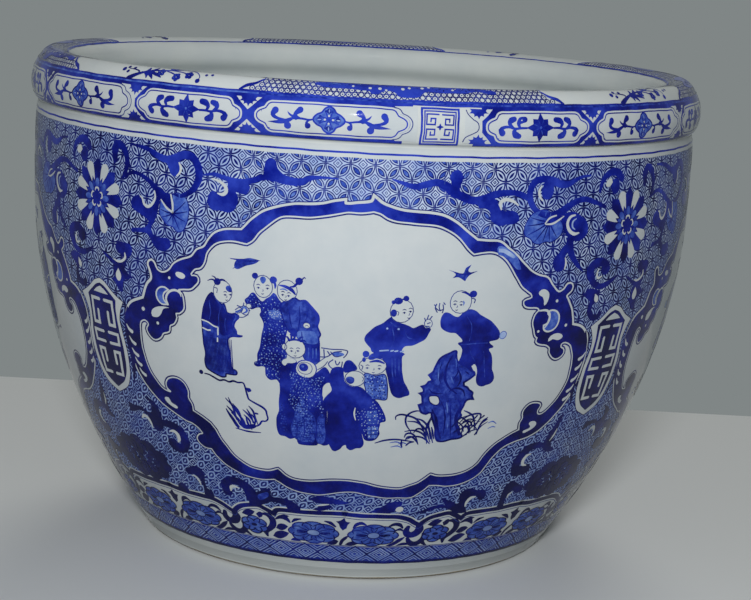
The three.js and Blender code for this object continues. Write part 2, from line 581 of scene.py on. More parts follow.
# Each ink by its short name: stops, then the spread of its clouds, its rise up the bowl and its darkening aside.
INKS = {
    ink: glazed(name, *looks)
    for ink, name, *looks in (
        ("deep", "cobalt_deep",
         [(0.28, (2, 6, 72)), (0.44, (4, 12, 106)), (0.6, (16, 32, 144)), (0.8, (44, 66, 184))], 60, 0.3, 0.26),
        ("royal", "cobalt_royal",
         [(0.34, (14, 28, 124)), (0.5, (30, 52, 158)), (0.66, (62, 88, 186))], 260, 0.04, 0.04),
        ("mid", "cobalt_wash",
         [(0.34, (38, 62, 162)), (0.5, (62, 92, 186)), (0.66, (98, 128, 204))], 200, 0.04, 0.04),
        ("pale", "cobalt_pale_wash",
         [(0.3, (104, 130, 196)), (0.5, (136, 160, 212)), (0.75, (176, 196, 226))], 90, 0.12, 0.06),
        ("tint", "diaper_ground",
         [(0.3, (126, 150, 208)), (0.5, (160, 182, 224)), (0.72, (192, 208, 232))], 45, 0.1, 0.09),
        ("low", "lower_diaper_ground", [(0.3, (6, 14, 84)), (0.6, (14, 28, 116)), (0.75, (30, 50, 142))], 60),
        ("white", "reserved_glaze", [(0.3, (190, 199, 204)), (0.7, (203, 209, 211))], 30),
        ("line", "cobalt_line", [(0.24, (2, 6, 66)), (0.5, (12, 24, 112)), (0.8, (44, 64, 160))], 80, 0.12, 0.2),
        ("fine", "cobalt_fine_line", [(0.3, (20, 34, 112)), (0.7, (52, 72, 152))], 90),
    )
}


def clay_and_glaze():
    """The foot: glazed down its outside, with bare biscuit where it stands."""
    material = glazed("foot_biscuit", [(0.3, (190, 197, 197)), (0.7, (200, 206, 205))], 14)
    tree = material.node_tree
    shader = tree.nodes["Principled BSDF"]
    glaze = shader.inputs["Base Color"].links[0].from_socket
    where = node(tree, "ShaderNodeTexCoord").outputs["Object"]
    grain = node(tree, "ShaderNodeTexNoise", {"Vector": where, "Scale": 900, "Detail": 4})
    clay = ramp(tree, grain.outputs["Fac"], [(0.3, (168, 156, 134)), (0.75, (208, 199, 180))])
    wander = node(tree, "ShaderNodeTexNoise", {"Vector": where, "Scale": 35}).outputs["Fac"]
    height = node(tree, "ShaderNodeSeparateXYZ", {"Vector": where}).outputs["Z"]
    uneven = node(tree, "ShaderNodeMath", {0: wander, 1: -0.002, 2: height}, operation="MULTIPLY_ADD")
    limits = {"Value": uneven.outputs["Value"], "From Min": 0.0006, "From Max": 0.0009}
    edge = node(tree, "ShaderNodeMapRange", limits).outputs["Result"]
    mix = node(tree, "ShaderNodeMix", {"Factor": edge, "A": clay, "B": glaze}, data_type="RGBA")
    tree.links.new(mix.outputs["Result"], shader.inputs["Base Color"])
    rough = node(tree, "ShaderNodeMapRange", {"Value": edge, "To Min": 0.8, "To Max": 0.1})
    tree.links.new(rough.outputs["Result"], shader.inputs["Roughness"])
    return material


def build_skins():
    top, throat = float(ALONG[0]), V_THROAT
    v = np.linspace(top, throat, 96)
    rim = section(v, np.interp(v, [top, top + 24, throat], [0, SKIN, SKIN]))
    rim[-1, 1] = SEAT
    lathe("rim_collar_glaze", [rim, straight(rim[-1], rim[0])], GLAZE, "rim_collar")

    out, back = cut(SEAT, WAIST, 60), bore_points(WAIST, SEAT, 40)
    upper = [out, straight(out[-1], back[0]), back, straight(back[-1], out[0])]
    lathe("upper_wall_glaze", upper, GLAZE, "upper_wall")

    round_top = FLOOR + FLOOR_FILLET
    out, back = cut(WAIST, FLOOR, 60), bore_points(round_top, WAIST, 40)
    fillet = ((float(bore(round_top)), round_top), (float(bore(FLOOR)) - FLOOR_FILLET, FLOOR))
    fillet = bezier(quarter_round(*fillet, True, ROUND), 20)[::-1]
    lower = [out, straight(out[-1], fillet[0]), fillet, back, straight(back[-1], out[0])]
    lathe("lower_wall_glaze", lower, GLAZE, "lower_wall")

    out = cut(FLOOR, FOOT_TOP, 8)
    under = np.linspace((out[-1][0], FOOT_TOP), (0, FOOT_TOP), 30)
    over = np.linspace((0, FLOOR), (out[0][0], FLOOR), 30)
    lathe("base_slab_glaze", [out, under, over], GLAZE, "base_slab")

    out = cut(FOOT_TOP, FOOT_EDGE, 5)
    edge = bezier(quarter_round(TREAD_OUT, tuple(out[-1]), False, ROUND), 10)[::-1]
    foot = [out, edge, straight(TREAD_OUT, TREAD_IN), straight(TREAD_IN, RECESS), straight(RECESS, out[0])]
    lathe("foot_ring_clay", foot, clay_and_glaze(), "foot_ring")


# ---------------------------------------------------------------- camera, stage and light

# The camera that the photo was solved for, in metres, millimetres of lens and radians.
CAMERA_AT = (0, -1.1086, 0.3594)
LENS, SENSOR = 85.98, 36
PITCH, YAW, ROLL = 0.1962, 0.0112, 0.0560
# Screen colours of the floor for the rays that light the bowl and for those that are seen, and of the backdrop.
FLOOR_BOUNCE, FLOOR_SEEN, BACKDROP = (108, 113, 114), (214, 218, 219), (128, 134, 134)
FLOOR_CORNERS = ((-4, -5), (4, 0.3))
WORLD_LIGHT = 0.11
KEY_AT, BACK_FILL_AT, LAMPS_AIM = (-0.06, -1.42, 0.66), (0.5, 2.4, 1.9), (0, 0, 0.15)


def camera():
    data = bpy.data.cameras.new("camera")
    data.lens, data.sensor_width = LENS, SENSOR
    cam = add_object("camera", data)
    level = math.cos(PITCH)
    ahead = Vector((math.sin(YAW) * level, math.cos(YAW) * level, -math.sin(PITCH)))
    right = ahead.cross(Vector((0, 0, 1))).normalized()
    up = right.cross(ahead)
    c, s = math.cos(ROLL), math.sin(ROLL)
    turned = Matrix((c * right + s * up, c * up - s * right, -ahead)).transposed().to_4x4()
    cam.matrix_world = Matrix.Translation(CAMERA_AT) @ turned
    bpy.context.scene.camera = cam


def lamp(name, place, size, power, shape="DISK"):
    data = bpy.data.lights.new(name, "AREA")
    data.shape, data.size, data.energy = shape, size, power
    obj = add_object(name, data)
    obj.location = place
    obj.rotation_euler = (Vector(LAMPS_AIM) - Vector(place)).to_track_quat("-Z", "Y").to_euler()
    return obj


def seen_rays(tree):
    """1 for the rays of the camera and of reflections, so that both see the same background."""
    rays = node(tree, "ShaderNodeLightPath").outputs
    either = node(tree, "ShaderNodeMath", {0: rays["Is Camera Ray"], 1: rays["Is Glossy Ray"]}, operation="MAXIMUM")
    return either.outputs["Value"]


def stage():
    mesh = bpy.data.meshes.new("floor")
    (x0, y0), (x1, y1) = FLOOR_CORNERS
    mesh.from_pydata([(x0, y0, 0), (x1, y0, 0), (x1, y1, 0), (x0, y1, 0)], [], [(0, 1, 2, 3)])
    floor = add_object("floor", mesh)
    material = bpy.data.materials.new("floor_cloth")
    material.use_nodes = True
    tree = material.node_tree
    shader = tree.nodes["Principled BSDF"]
    shader.inputs["Roughness"].default_value = 0.8
    colours = {"Factor": seen_rays(tree), "A": shade(*FLOOR_BOUNCE), "B": shade(*FLOOR_SEEN)}
    near = node(tree, "ShaderNodeMix", colours, data_type="RGBA")
    tree.links.new(near.outputs["Result"], shader.inputs["Base Color"])
    mesh.materials.append(material)

    world = bpy.data.worlds.new("studio")
    world.use_nodes = True
    tree = world.node_tree
    light = tree.nodes["Background"]
    light.inputs["Color"].default_value = (0.9, 0.95, 1.0, 1)
    light.inputs["Strength"].default_value = WORLD_LIGHT
    seen = node(tree, "ShaderNodeBackground", {"Color": shade(*BACKDROP), "Strength": 1})
    mix = node(tree, "ShaderNodeMixShader", {0: seen_rays(tree), 1: light.outputs[0], 2: seen.outputs[0]})
    tree.links.new(mix.outputs[0], tree.nodes["World Output"].inputs["Surface"])
    bpy.context.scene.world = world

    lamp("key", KEY_AT, 0.26, 15).visible_glossy = False
    lamp("flash", KEY_AT, 0.055, 1)
    fill = lamp("back_fill", BACK_FILL_AT, 1.4, 32, "SQUARE")
    fill.data.color = (1, 0.97, 0.88)
    fill.visible_glossy = False
    # Straight above the mouth, so that the floor inside is seen in views from above.
    inner = bpy.data.lights.new("inner_fill", "SPOT")
    inner.energy, inner.spot_size, inner.spot_blend, inner.shadow_soft_size = 9, math.radians(17.4), 0.35, 0.05
    add_object("inner_fill", inner).location = (0, 0, 1.3)


# ---------------------------------------------------------------- diaper

# The lines grow bolder away from a panel's middle: the distances of the steps, and the width within each.
BOLDER_FROM, DIAPER_WIDTHS = (30, 66, 100), (0.6, 0.7, 0.88, 1.04)


def copies(ink, level, shape, faces, centres):
    """Places one small shape, drawn in true millimetres, at many centres."""
    centres = np.asarray(centres, float)
    if len(centres):
        wide = np.stack([stretch_at(centres[:, 1]), np.ones(len(centres))], 1)
        points = centres[:, None] + np.asarray(shape) * wide[:, None]
        starts = np.arange(len(centres))[:, None, None] * len(shape)
        sheet(ink).add(points.reshape(-1, 2), (starts + np.array(faces)).reshape(-1, 3), lift_of(level))


def vesica(half_length, half_width, angle, count):
    """A pointed oval, with as many points along each side."""
    t = np.linspace(-1, 1, count)
    arc = np.stack([t * half_length, half_width * (1 - t * t)], 1)
    return np.concatenate([arc, -arc[1:-1]]) @ turning(angle)


def turning(angle):
    c, s = math.cos(angle), math.sin(angle)
    return np.array([[c, s], [-s, c]])


def diamond(half_width, half_height):
    return np.array([[half_width, 0], [0, half_height], [-half_width, 0], [0, -half_height]])


def outline(edge, width):
    """A closed line along an edge round 0, half its width to each side, and its faces."""
    share = width / np.hypot(*edge.T).min() / 2
    return between(edge * (1 + share), edge * (1 - share))


def solid(edge):
    return fan((0, 0), edge)


def lattice(columns, v0, rise, rows):
    """The middles of a diagonal lattice's lines down right and down left, those between its nodes, and its pitch."""
    pitch = TURN / columns
    nodes = np.array([((i + 0.5 * (k % 2)) * pitch, v0 + rise * k) for k in range(rows) for i in range(columns)])
    half = np.array([pitch / 4, rise / 2])
    upper = nodes[nodes[:, 1] < v0 + rise * (rows - 1) - 0.01]
    return upper + half, upper + half * [-1, 1], nodes + [pitch / 2, 0], pitch


def slant(pitch, rise, v):
    """The angle and half length of a lattice line at v."""
    true = pitch / 4 / stretch_at(v)
    return math.atan2(rise / 2, true), math.hypot(true, rise / 2)


def petal_diaper(columns, v0, rise, rows, hidden):
    """The ground of crossed petals with blue hearts, with small diamonds between them."""
    right, left, middles, pitch = lattice(columns, v0, rise, rows)
    angle, reach = slant(pitch, rise, v0 + rise * rows / 2)

    def zones(spots):
        spots = spots[~hidden(spots)]
        places = np.array([middle for middle, _ in PANELS]) * DEGREE
        away = np.abs((spots[:, :1] - places + TURN / 2) % TURN - TURN / 2).min(1)
        zone = np.digitize(away, BOLDER_FROM)
        return [(spots[zone == k], width, k) for k, width in enumerate(DIAPER_WIDTHS)]

    for centres, turn in ((right, angle), (left, math.pi - angle)):
        for spots, width, zone in zones(centres):
            side = reach * 0.42
            tip = reach - 1.3 * width
            shape, faces = between(vesica(reach, side + width / 2, turn, 9), vesica(tip, side - width / 2, turn, 9))
            copies("line_diaper", 1, shape, faces, spots)
            shape, faces = solid(vesica(reach * 0.5, reach * (0.2 if zone < 2 else 0.15), turn, 5))
            copies("mid_diaper" if zone < 2 else "line_diaper", 1, shape, faces, spots)
            if zone < 2:
                shape, faces = outline(vesica(reach * 0.53, reach * 0.21, turn, 5), width * 0.8)
                copies("line_diaper", 1.5, shape, faces, spots)
    for spots, width, _ in zones(middles):
        for size, share in ((2.3, 1), (0.7, 0.7)):
            shape, faces = outline(diamond(size, size), width * share)
            copies("line_diaper", 1, shape, faces, spots)


def ring_diaper(columns, v0, rise, rows, hidden):
    """The denser ground under the panels: pale ovals and boxes on blue."""
    right, left, level, pitch = lattice(columns, v0, rise, rows)
    box = np.array([[1, 1], [-1, 1], [-1, -1], [1, -1]])
    for k in range(rows):
        v = v0 + rise * k
        angle, reach = slant(pitch, rise, v)
        back = math.pi - angle
        boxes = outline(box * 1.75 @ turning(angle), 0.85), solid(box * 0.55 @ turning(angle))
        ovals = outline(vesica(reach * 0.8, 2.15, back, 9), 0.9), solid(vesica(reach * 0.36, 0.55, back, 5))
        for centres, drop, shapes in (
            (right, rise / 2, boxes), (left, rise / 2, ovals), (level, 0, [outline(diamond(1.35, 1.6), 0.6)]),
        ):
            row = centres[np.abs(centres[:, 1] - v - drop) < 0.01]
            row = row[~hidden(row)]
            for shape, faces in shapes:
                copies("pale_diaper", 1, shape, faces, row)


# ---------------------------------------------------------------- panels

# Each panel's middle in degrees and its width as a share of the front one's; the emblems stand between them.
PANELS = ((0.5, 1.0), (91.95, 0.971), (180.25, 0.932), (-91.2, 0.976))
EMBLEMS = (-45.9, 46.9, 137.0, -136.5)

FRAME_OUT = (
    "2,22.5! 3.2,25.5 4.8,27.6 6.4,28.6 8.5,29.2 10.5,29.5 12.5,31 14.3,34 16,38.5 17.8,43.2! 19.5,43.4 "
    "21.5,44 23.1,47.8 24.7,52.2 26.3,57.2 27.3,60 28.9,62.8 30.5,64.4 31.7,68.9 33,72.5 34,71 34.7,68.2 "
    "35.5,68.6 35.6,71.5 34.6,74.8 34.9,76.7 36,82.2 36.7,87.8 37,92.2! 38.8,93.9 40,96.7 40.9,101 "
    "41.3,106.7 41.5,112 41.5,120 41.1,129 40.7,135.6 40,141 39.1,145.6 37.5,152 35.6,157.8 33.7,161 "
    "31.1,162.8 29.2,165.6 27.6,171 26.5,177.8 25.7,183.3 24.1,187.8 21.9,190.6 19.6,191.3 17.4,190.6 "
    "15.9,190.5! 14.5,195 12.8,198.9 10.3,199.4 7.7,199.4 4.6,197.8 2,196 0,196 -2.9,197.8 -5.4,199.4 "
    "-7.6,199.1 -9.6,197.8 -11.1,196 -12.7,192.8 -13.7,191.1! -15.6,192.2 -17.8,192.2 -20.1,190.6 "
    "-22,187.8 -23.6,184.4 -24.8,180.6 -25.7,176.1! -27,176.1 -27.9,173.9 -28.3,170.6 -27.6,167.8 "
    "-26.8,166.5 -28.6,161 -30.2,159.8 -32.1,156.7 -34.6,152.2 -36.5,146.7 -38.1,140 -39.2,133.3 "
    "-39.9,125.6 -40.2,117.8 -40.2,110 -40,104.4 -39.5,98.9 -38.6,94.4 -36.8,91.1 -35.6,89.4! -35.1,85.6 "
    "-34.5,81.1 -33.5,77.2 -33.8,72.2 -34.1,68.9 -33.5,67.2 -32.9,68.9 -32.5,71.7 -31.4,72.8 -30.2,71.1 "
    "-29.2,67.2 -27.9,64.4 -26,61.7 -25.1,57.8 -23.8,55.6 -23,51.1 -21.9,47.2 -20.3,45 -17.7,44.4! "
    "-17.1,42.2 -16.1,38.3 -14.5,33.9 -13,31.7 -10,28.7 -7.7,28.1 -5.4,27.2 -3.9,25.8 -2.4,24.7! "
    "-2.3,26.4 -0.4,25.8 1.7,24.7"
)
FRAME_IN = (
    "-1.8,30.2 0,30.2 1.9,29.1! 3,30.2 4.1,32.4 5.7,33.9 7.9,34.4 10,34.7 12.1,35.8 13.7,38.3 15.3,42.2 "
    "16.5,47.2 17.5,50! 18.8,49.2 20.4,48.9 21.6,50 22.9,53.3 24.2,58.9 25.1,63.3 26.1,67.8 27.3,71.1 "
    "27.8,72.2! 28.1,74.4 27.3,75.6 26.7,76.7 27,78.9 27.9,79.8 29.2,80.2 29.8,81.7 29.2,84.4 29,88.9 "
    "29.4,93.3 29.8,96.7 30.3,97.8! 30.2,100 31.1,101.7 32.4,102.5 33.2,104.4 33.3,106.7 34,110 "
    "34.8,111.3 35.7,110.6 36.3,108.3 36,106.1 35.4,105 35.4,102.8 36.2,102 37.5,103.9 38.1,106.7 "
    "38.8,112.2 39.1,118.9 39.1,125.6 38.6,132.2 37.8,137.8 36.5,143.3 35.2,146.4 34.3,146.1 34,143.3 "
    "34.3,140.6 33.7,138.9 32.4,138.6 31.4,140.6 31,143.9 31.3,147.8 31,151.1 31.3,155.6! 29.8,157.8 "
    "28.2,161.1 26.6,165.6 25.4,171.1 24.7,176.1 23.9,179.4! 22.5,182.2 20.6,183.9 18.4,184.4 16.8,183.9 "
    "15.7,182.8! 14.7,186.1 13.6,188.9 12,191 10.3,193 7.7,192.8 5.2,191.1 3,189.1 0,188.3 -2.5,188.5 "
    "-5.4,189.8 -8,190.6 -9.9,190 -11.5,187.6 -12.7,183.6! -14.3,185.6 -16.2,186.1 -18.2,185 -20.1,181.7 "
    "-21.7,176.7 -22.6,172.2 -23.4,168.5 -24.1,163 -24.9,159! -26,156.7 -27.3,154.2 -28.2,152.8! "
    "-28.2,148.9 -28.7,145 -28.6,140 -29.2,136.1 -30.5,133.9 -32.1,135 -32.9,137.8 -32.9,140.6 "
    "-32.2,142.8 -32.4,143.6 -34,142.2 -35.2,137.8 -36.4,131.1 -37,123.3 -37.2,115.6 -37,107.8 "
    "-36.8,104.4 -36.5,102.8 -35.6,101.7 -34.9,103.9 -35.4,107.2 -34.9,110.6 -34,112.2 -32.7,110 "
    "-32.1,107.2 -30.9,105.6 -30.6,102.2 -29.8,100.6 -29.2,96.7 -29.3,94.4 -28.6,93.9 -27.8,91.1 "
    "-27.7,87.8 -27.9,83.3 -28.6,81.1 -27.9,80.2 -26.3,79.4 -25.5,77.2 -24.9,74.4 -25.1,72.2 -26,72.2! "
    "-26.2,71.1 -25.4,67.8 -24.4,66.7 -23.8,63.3 -23.3,57.8 -22.2,53.3 -20.9,51.1 -19,50.2 -16.8,50.9! "
    "-16,48.9 -14.9,43.9 -13.3,38.9 -11.8,35.3 -10,34.4 -7,33.9 -4.5,32.4 -2.7,30.9!"
)


def panel_pen(middle, share, unit=DEGREE, flip=1, **more):
    """A pen in the front panel's own coordinates, moved to a panel, or turned over about its middle."""
    shift = (middle - flip * share * PANELS[0][0]) * DEGREE
    return Pen(unit=unit, shift=shift, flip=flip, scale=share, **more)


def paint_frame(pen):
    """The lobed frame and its white field, with the clouds that are left white in its blue."""
    widths = np.array([3, 2.6, 2, 1.8, 3.2, 1.9, 1.4, 1.3, 1.3, 1.3, 1.4, 1.9, 3.2, 1.8, 2, 2.6, 3])
    pen.stroke("line", 1.5, FRAME_OUT, widths + 1.1, closed=True)
    pen.stroke("white", 2, FRAME_OUT, widths, closed=True)
    pen.fill("deep", 3, FRAME_OUT, FRAME_IN)
    field = pen.fill("white", 2, FRAME_IN)[0]
    line = inset(field, 1.25)
    pen.edge("line", 3, line, 0.8)
    # Right-hand clouds.
    pen.fill("white", 4, "29.2,71.5 30,70.2 31.1,72.5 31.2,76 30.6,79.5 30.4,77 30,74.6 29.3,73.2")
    pen.dots("white", 4, (32.9, 77.4, 0.9), (35.6, 92, 0.9), (30.2, 94.2, 0.8))
    pen.stroke("white", 4, "29.8,82.2 31.2,82.3 31.9,85 31.8,89 31.3,92.3", [0.8, 1.3, 1.3, 1.2, 0.7])
    comma = "31.5,83.4 32.7,82.8 33.7,85.5 33.9,89.5 33.4,93 32.2,94.5 31.2,93.2 31,90.8! 31.8,89.4 32,86.4"
    pen.outlined("mid", 4, comma, "white", 1.0)
    pen.fill("white", 4, "32.6,100.6 32.8,97.6 34.2,96.2 35.4,98.2 34.6,100.2 33.4,99.4")
    for x, v in ((41.1, 112), (40.9, 118), (40.7, 125), (40.4, 131.5), (40.1, 137)):
        pen.stroke("white", 4, f"{x - 0.6},{v + 1.8} {x},{v + 0.6} {x + 0.5},{v - 2.2}", [2.2, 1.6, 0.5])
    pen.fill("white", 4, "33,151.5 34.2,150.6 34.8,153 33.8,156.5 32.2,157.2 33.6,154.5")
    # Left-hand clouds.
    pen.fill("white", 4, "-29,72.3 -27.9,71.2 -27.1,73 -27.9,74.6")
    pen.dots("white", 4, (-30.1, 75.1, 0.8), (-35.8, 95.6, 1.2), (-33, 102.2, 0.9))
    comma = "-32.1,81.6 -31.1,80.8 -30.4,81.8! -31.3,84.5 -31.4,87.5 -30.7,90.4! -31.8,90.6 -32.7,88 -32.8,84.6"
    pen.outlined("mid", 4, comma, "white", 0.9)
    pen.stroke("white", 4, "-30.6,90.4 -30.9,86.8 -30.3,83 -29.1,81.3 -28.2,82.6 -28,84.6",
        [1.2, 1.3, 1.3, 1.3, 1, 0.5])
    pen.fill("white", 4, "-34,98.4 -34,95.4 -33,93 -31.6,92 -30.4,92.2! -31.6,93.4 -32,96 -32.6,98.2 -33.4,98.9")
    for x, v in ((-39.6, 109), (-39.3, 116), (-39.1, 123), (-38.7, 128.5), (-38.1, 134.5)):
        pen.stroke("white", 4, f"{x + 0.6},{v + 1.8} {x},{v + 0.6} {x - 0.5},{v - 2.2}", [2.2, 1.6, 0.5])
    pen.fill("white", 4, "-34,148.5 -33,147.2 -32.6,150 -31.3,152.6 -32.8,152.4")


# ---------------------------------------------------------------- ground between the panels


def fan_leaf(pen, small, edge, heart, bend, tips):
    """A fan-shaped leaf with veins that bend a little on their way from its heart to its edge."""
    pen.fill("mid", 3, edge)
    small.stroke("deep", 4, edge, 0.55, closed=True)
    for x, v in tips:
        half_way = (x + heart[0]) / 2, (v + heart[1]) / 2 + bend
        small.stroke("deep", 4, [heart, half_way, (x, v)], [0.9, 0.7, 0.3])


def paint_left_half(pen, small):
    """The scrolls from the middle of a panel's top to the middle of the next emblem on its left, in millimetres."""
    # Along the top.
    pen.stroke("deep", 3, "-12,13.6 -20,13.5 -26,14.2 -31,16.5 -37,16.5 -42,15.5 -46,15 -51,15.8 -56,17.5 -62,19 "
        "-68,18.8 -74,17.6 -79,16.8 -85,17.8", [0.6, 1.5, 2.6, 3.6, 4.4, 5, 4, 3.2, 3, 3, 3, 2.6, 2, 0.8])
    pen.fill("deep", 3, "-50.5,16 -50.6,9 -49.3,6 -47,5.2 -44.8,7 -43.8,10.5 -41,13 -38,15! -46,17.5")
    pen.stroke("fine", 3, "-52.8,9.5 -51.5,4.6 -48.2,3 -45,4.2 -42.8,8.2 -39.8,11.2", 0.5)
    pen.fill("deep", 3, "-71,19! -66,19 -60,19.5 -58.2,22 -60.5,25.4 -63.5,25 -66,24.6! -64.6,27.6 -65,31.5 "
        "-66.8,34.6 -70,36 -74.5,35.2 -79,35.2 -81.6,32 -81.6,28 -79.4,25.4 -76.4,26.4 -73.6,26.8 -71.4,24.6 "
        "-70.6,22")
    small.stroke("white", 4, "-80,19.2 -75.5,20 -72,22.4 -71.2,25 -73,26.8 -76,26.6", [0.6, 1.4, 1.8, 2, 1.8, 0.8])
    # The big hook.
    pen.stroke("deep", 3, "-132,6.6 -126,7 -120,8.2 -114,10.6 -108,12 -102.5,10.6 -97.5,8.4 -92,9.2 -88.4,13.4 "
        "-87.6,18.6 -89.4,24 -93.4,28 -98.4,30.2 -103,29.8", [1.2, 1.8, 2.6, 3.4, 4.2, 4.4, 4.2, 4.4, 4.6, 4.4, 3.8,
        3, 2.2, 1])
    pen.fill("deep", 3, "-108,12.4 -100,11.4 -98.6,14.4 -99.2,18 -101.6,20.4 -104.6,19.6 -106.6,16.4")
    small.stroke("white", 4, "-100,12.4 -98.6,15.2 -99.4,18.2 -101.4,20", [0.6, 1.6, 1.2, 0.5])
    # The stem to the fan-shaped leaf.
    pen.stroke("deep", 3, "-137,24.2 -131,21.6 -126,21.8 -120,24.2 -114.5,28 -110,31", [2, 2, 2.2, 2.8, 3.6, 5])
    fan = (
        "-103.6,30! -100.5,28.8 -97.4,29.6 -94.6,31.6 -93,35.4 -93,40 -94,45 -96.4,48.6 -99.4,49.4 -102.5,47 "
        "-106,46.4 -109.4,44 -111.6,40.6 -111.6,36.6 -110.8,33.6! -106.5,37.6 -103,39.6! -103.2,34.5"
    )
    fan_leaf(pen, small, fan, (-103, 40.2), 0.2, (
        (-95, 33), (-93.8, 38), (-94.8, 43.5), (-98.4, 48), (-102.6, 46.4), (-106.6, 45.4), (-110, 42.6),
        (-111, 38.6)))
    pen.fill("deep", 4, "-113.5,28.5 -108.5,29.4 -104.6,29.8! -103.6,33 "
        "-103,39.4! -106.5,37.4 -110.6,33.6 -112.4,34.8 -113.6,32")
    small.stroke("white", 5, "-104.6,30.2 -103.3,34.5 -103,39.4", [0.8, 1.3, 1])
    small.stroke("white", 5, "-110.8,33.4 -107,37.4 -103,39.4", [0.7, 1.3, 1])
    # The mass beside it, with its curl and lower branch.
    pen.fill("deep", 3, "-115.5,29 -112,29.2 -111.4,33 -112.4,38 -113.4,42.6 -115.4,46.2 -117,50 -114.6,53.6 -110,54 "
        "-105.2,53.8 -104,56.8 -105.4,59.8 -109.6,61.2 -114,60 -117,56.6 -119,53.6 -121.6,52.6 -126,53 -131,53.6! "
        "-131,51.6 -126,50.6 -121,49.4 -119,46.4 -121.6,44.6 -126,42.4 -130.4,40.8 -132,37.6 -130.4,34.6 -126.6,33.2 "
        "-123.8,34.6 -122.6,37.4 -120.6,39 -117.6,38.2 -115.6,35.6 -115,32")
    small.stroke("white", 4, "-115.4,29.4 -114.8,33 -116.6,36.6 -119.6,38.4 -122.4,37.2 -123.6,34.6 -125.6,33.4",
        [0.8, 1.2, 1.5, 1.8, 1.5, 1.2, 0.6])
    # The curl at the top of the emblem, round a white eye.
    pen.stroke("deep", 3, "-147.5,10.6 -144,7.6 -140,8.4 -136.6,12.6 -135.6,17.6 -137,22.6 -138.4,25",
        [2, 4, 4.6, 4, 3.4, 2.6, 1.4])
    pen.fill("deep", 3, "-148,10.4 -145.4,7.4 -142.6,9.4 -143.2,13 -143.4,16.4 -145.6,18.4 -147.4,15")
    # The curl and leaf over the cartouche.
    pen.fill("deep", 3, "-144,62.6 -141.4,60.2 -137,60.6 -132.6,60.8 -130.8,63.4 -132,66.6 -135,69.4 -136.4,73.4 "
        "-138.6,75.6 -142.6,75.4 -147,73.6 -152.5,70.2 -157.5,67! -152,68.6 -147,71 -143,71.6 -139.6,70.6 "
        "-138.4,68.6 -139.8,67.2 -142.6,66.6")
    small.stroke("white", 4, "-136.8,66.2 -136.6,68.6 -139.4,70.8 -143,71.4 -146,70.6", [0.8, 1.6, 1.4, 1.2, 0.6])
    pen.fill("deep", 3, "-146.4,75 -142.6,74.6 -138.4,74.4 -134,77.6 -130,78.6! -134.6,80.2 -138.6,82 -139.4,85.6 "
        "-140.8,88.8 -143.6,87.4 -146,84 -149.4,82.2! -146.4,80.6 -146.8,77.6")
    small.fill("white", 4, "-142.6,75.2! -140.4,79 -141.4,82.2 -143.6,82.4 -144.8,79.4")


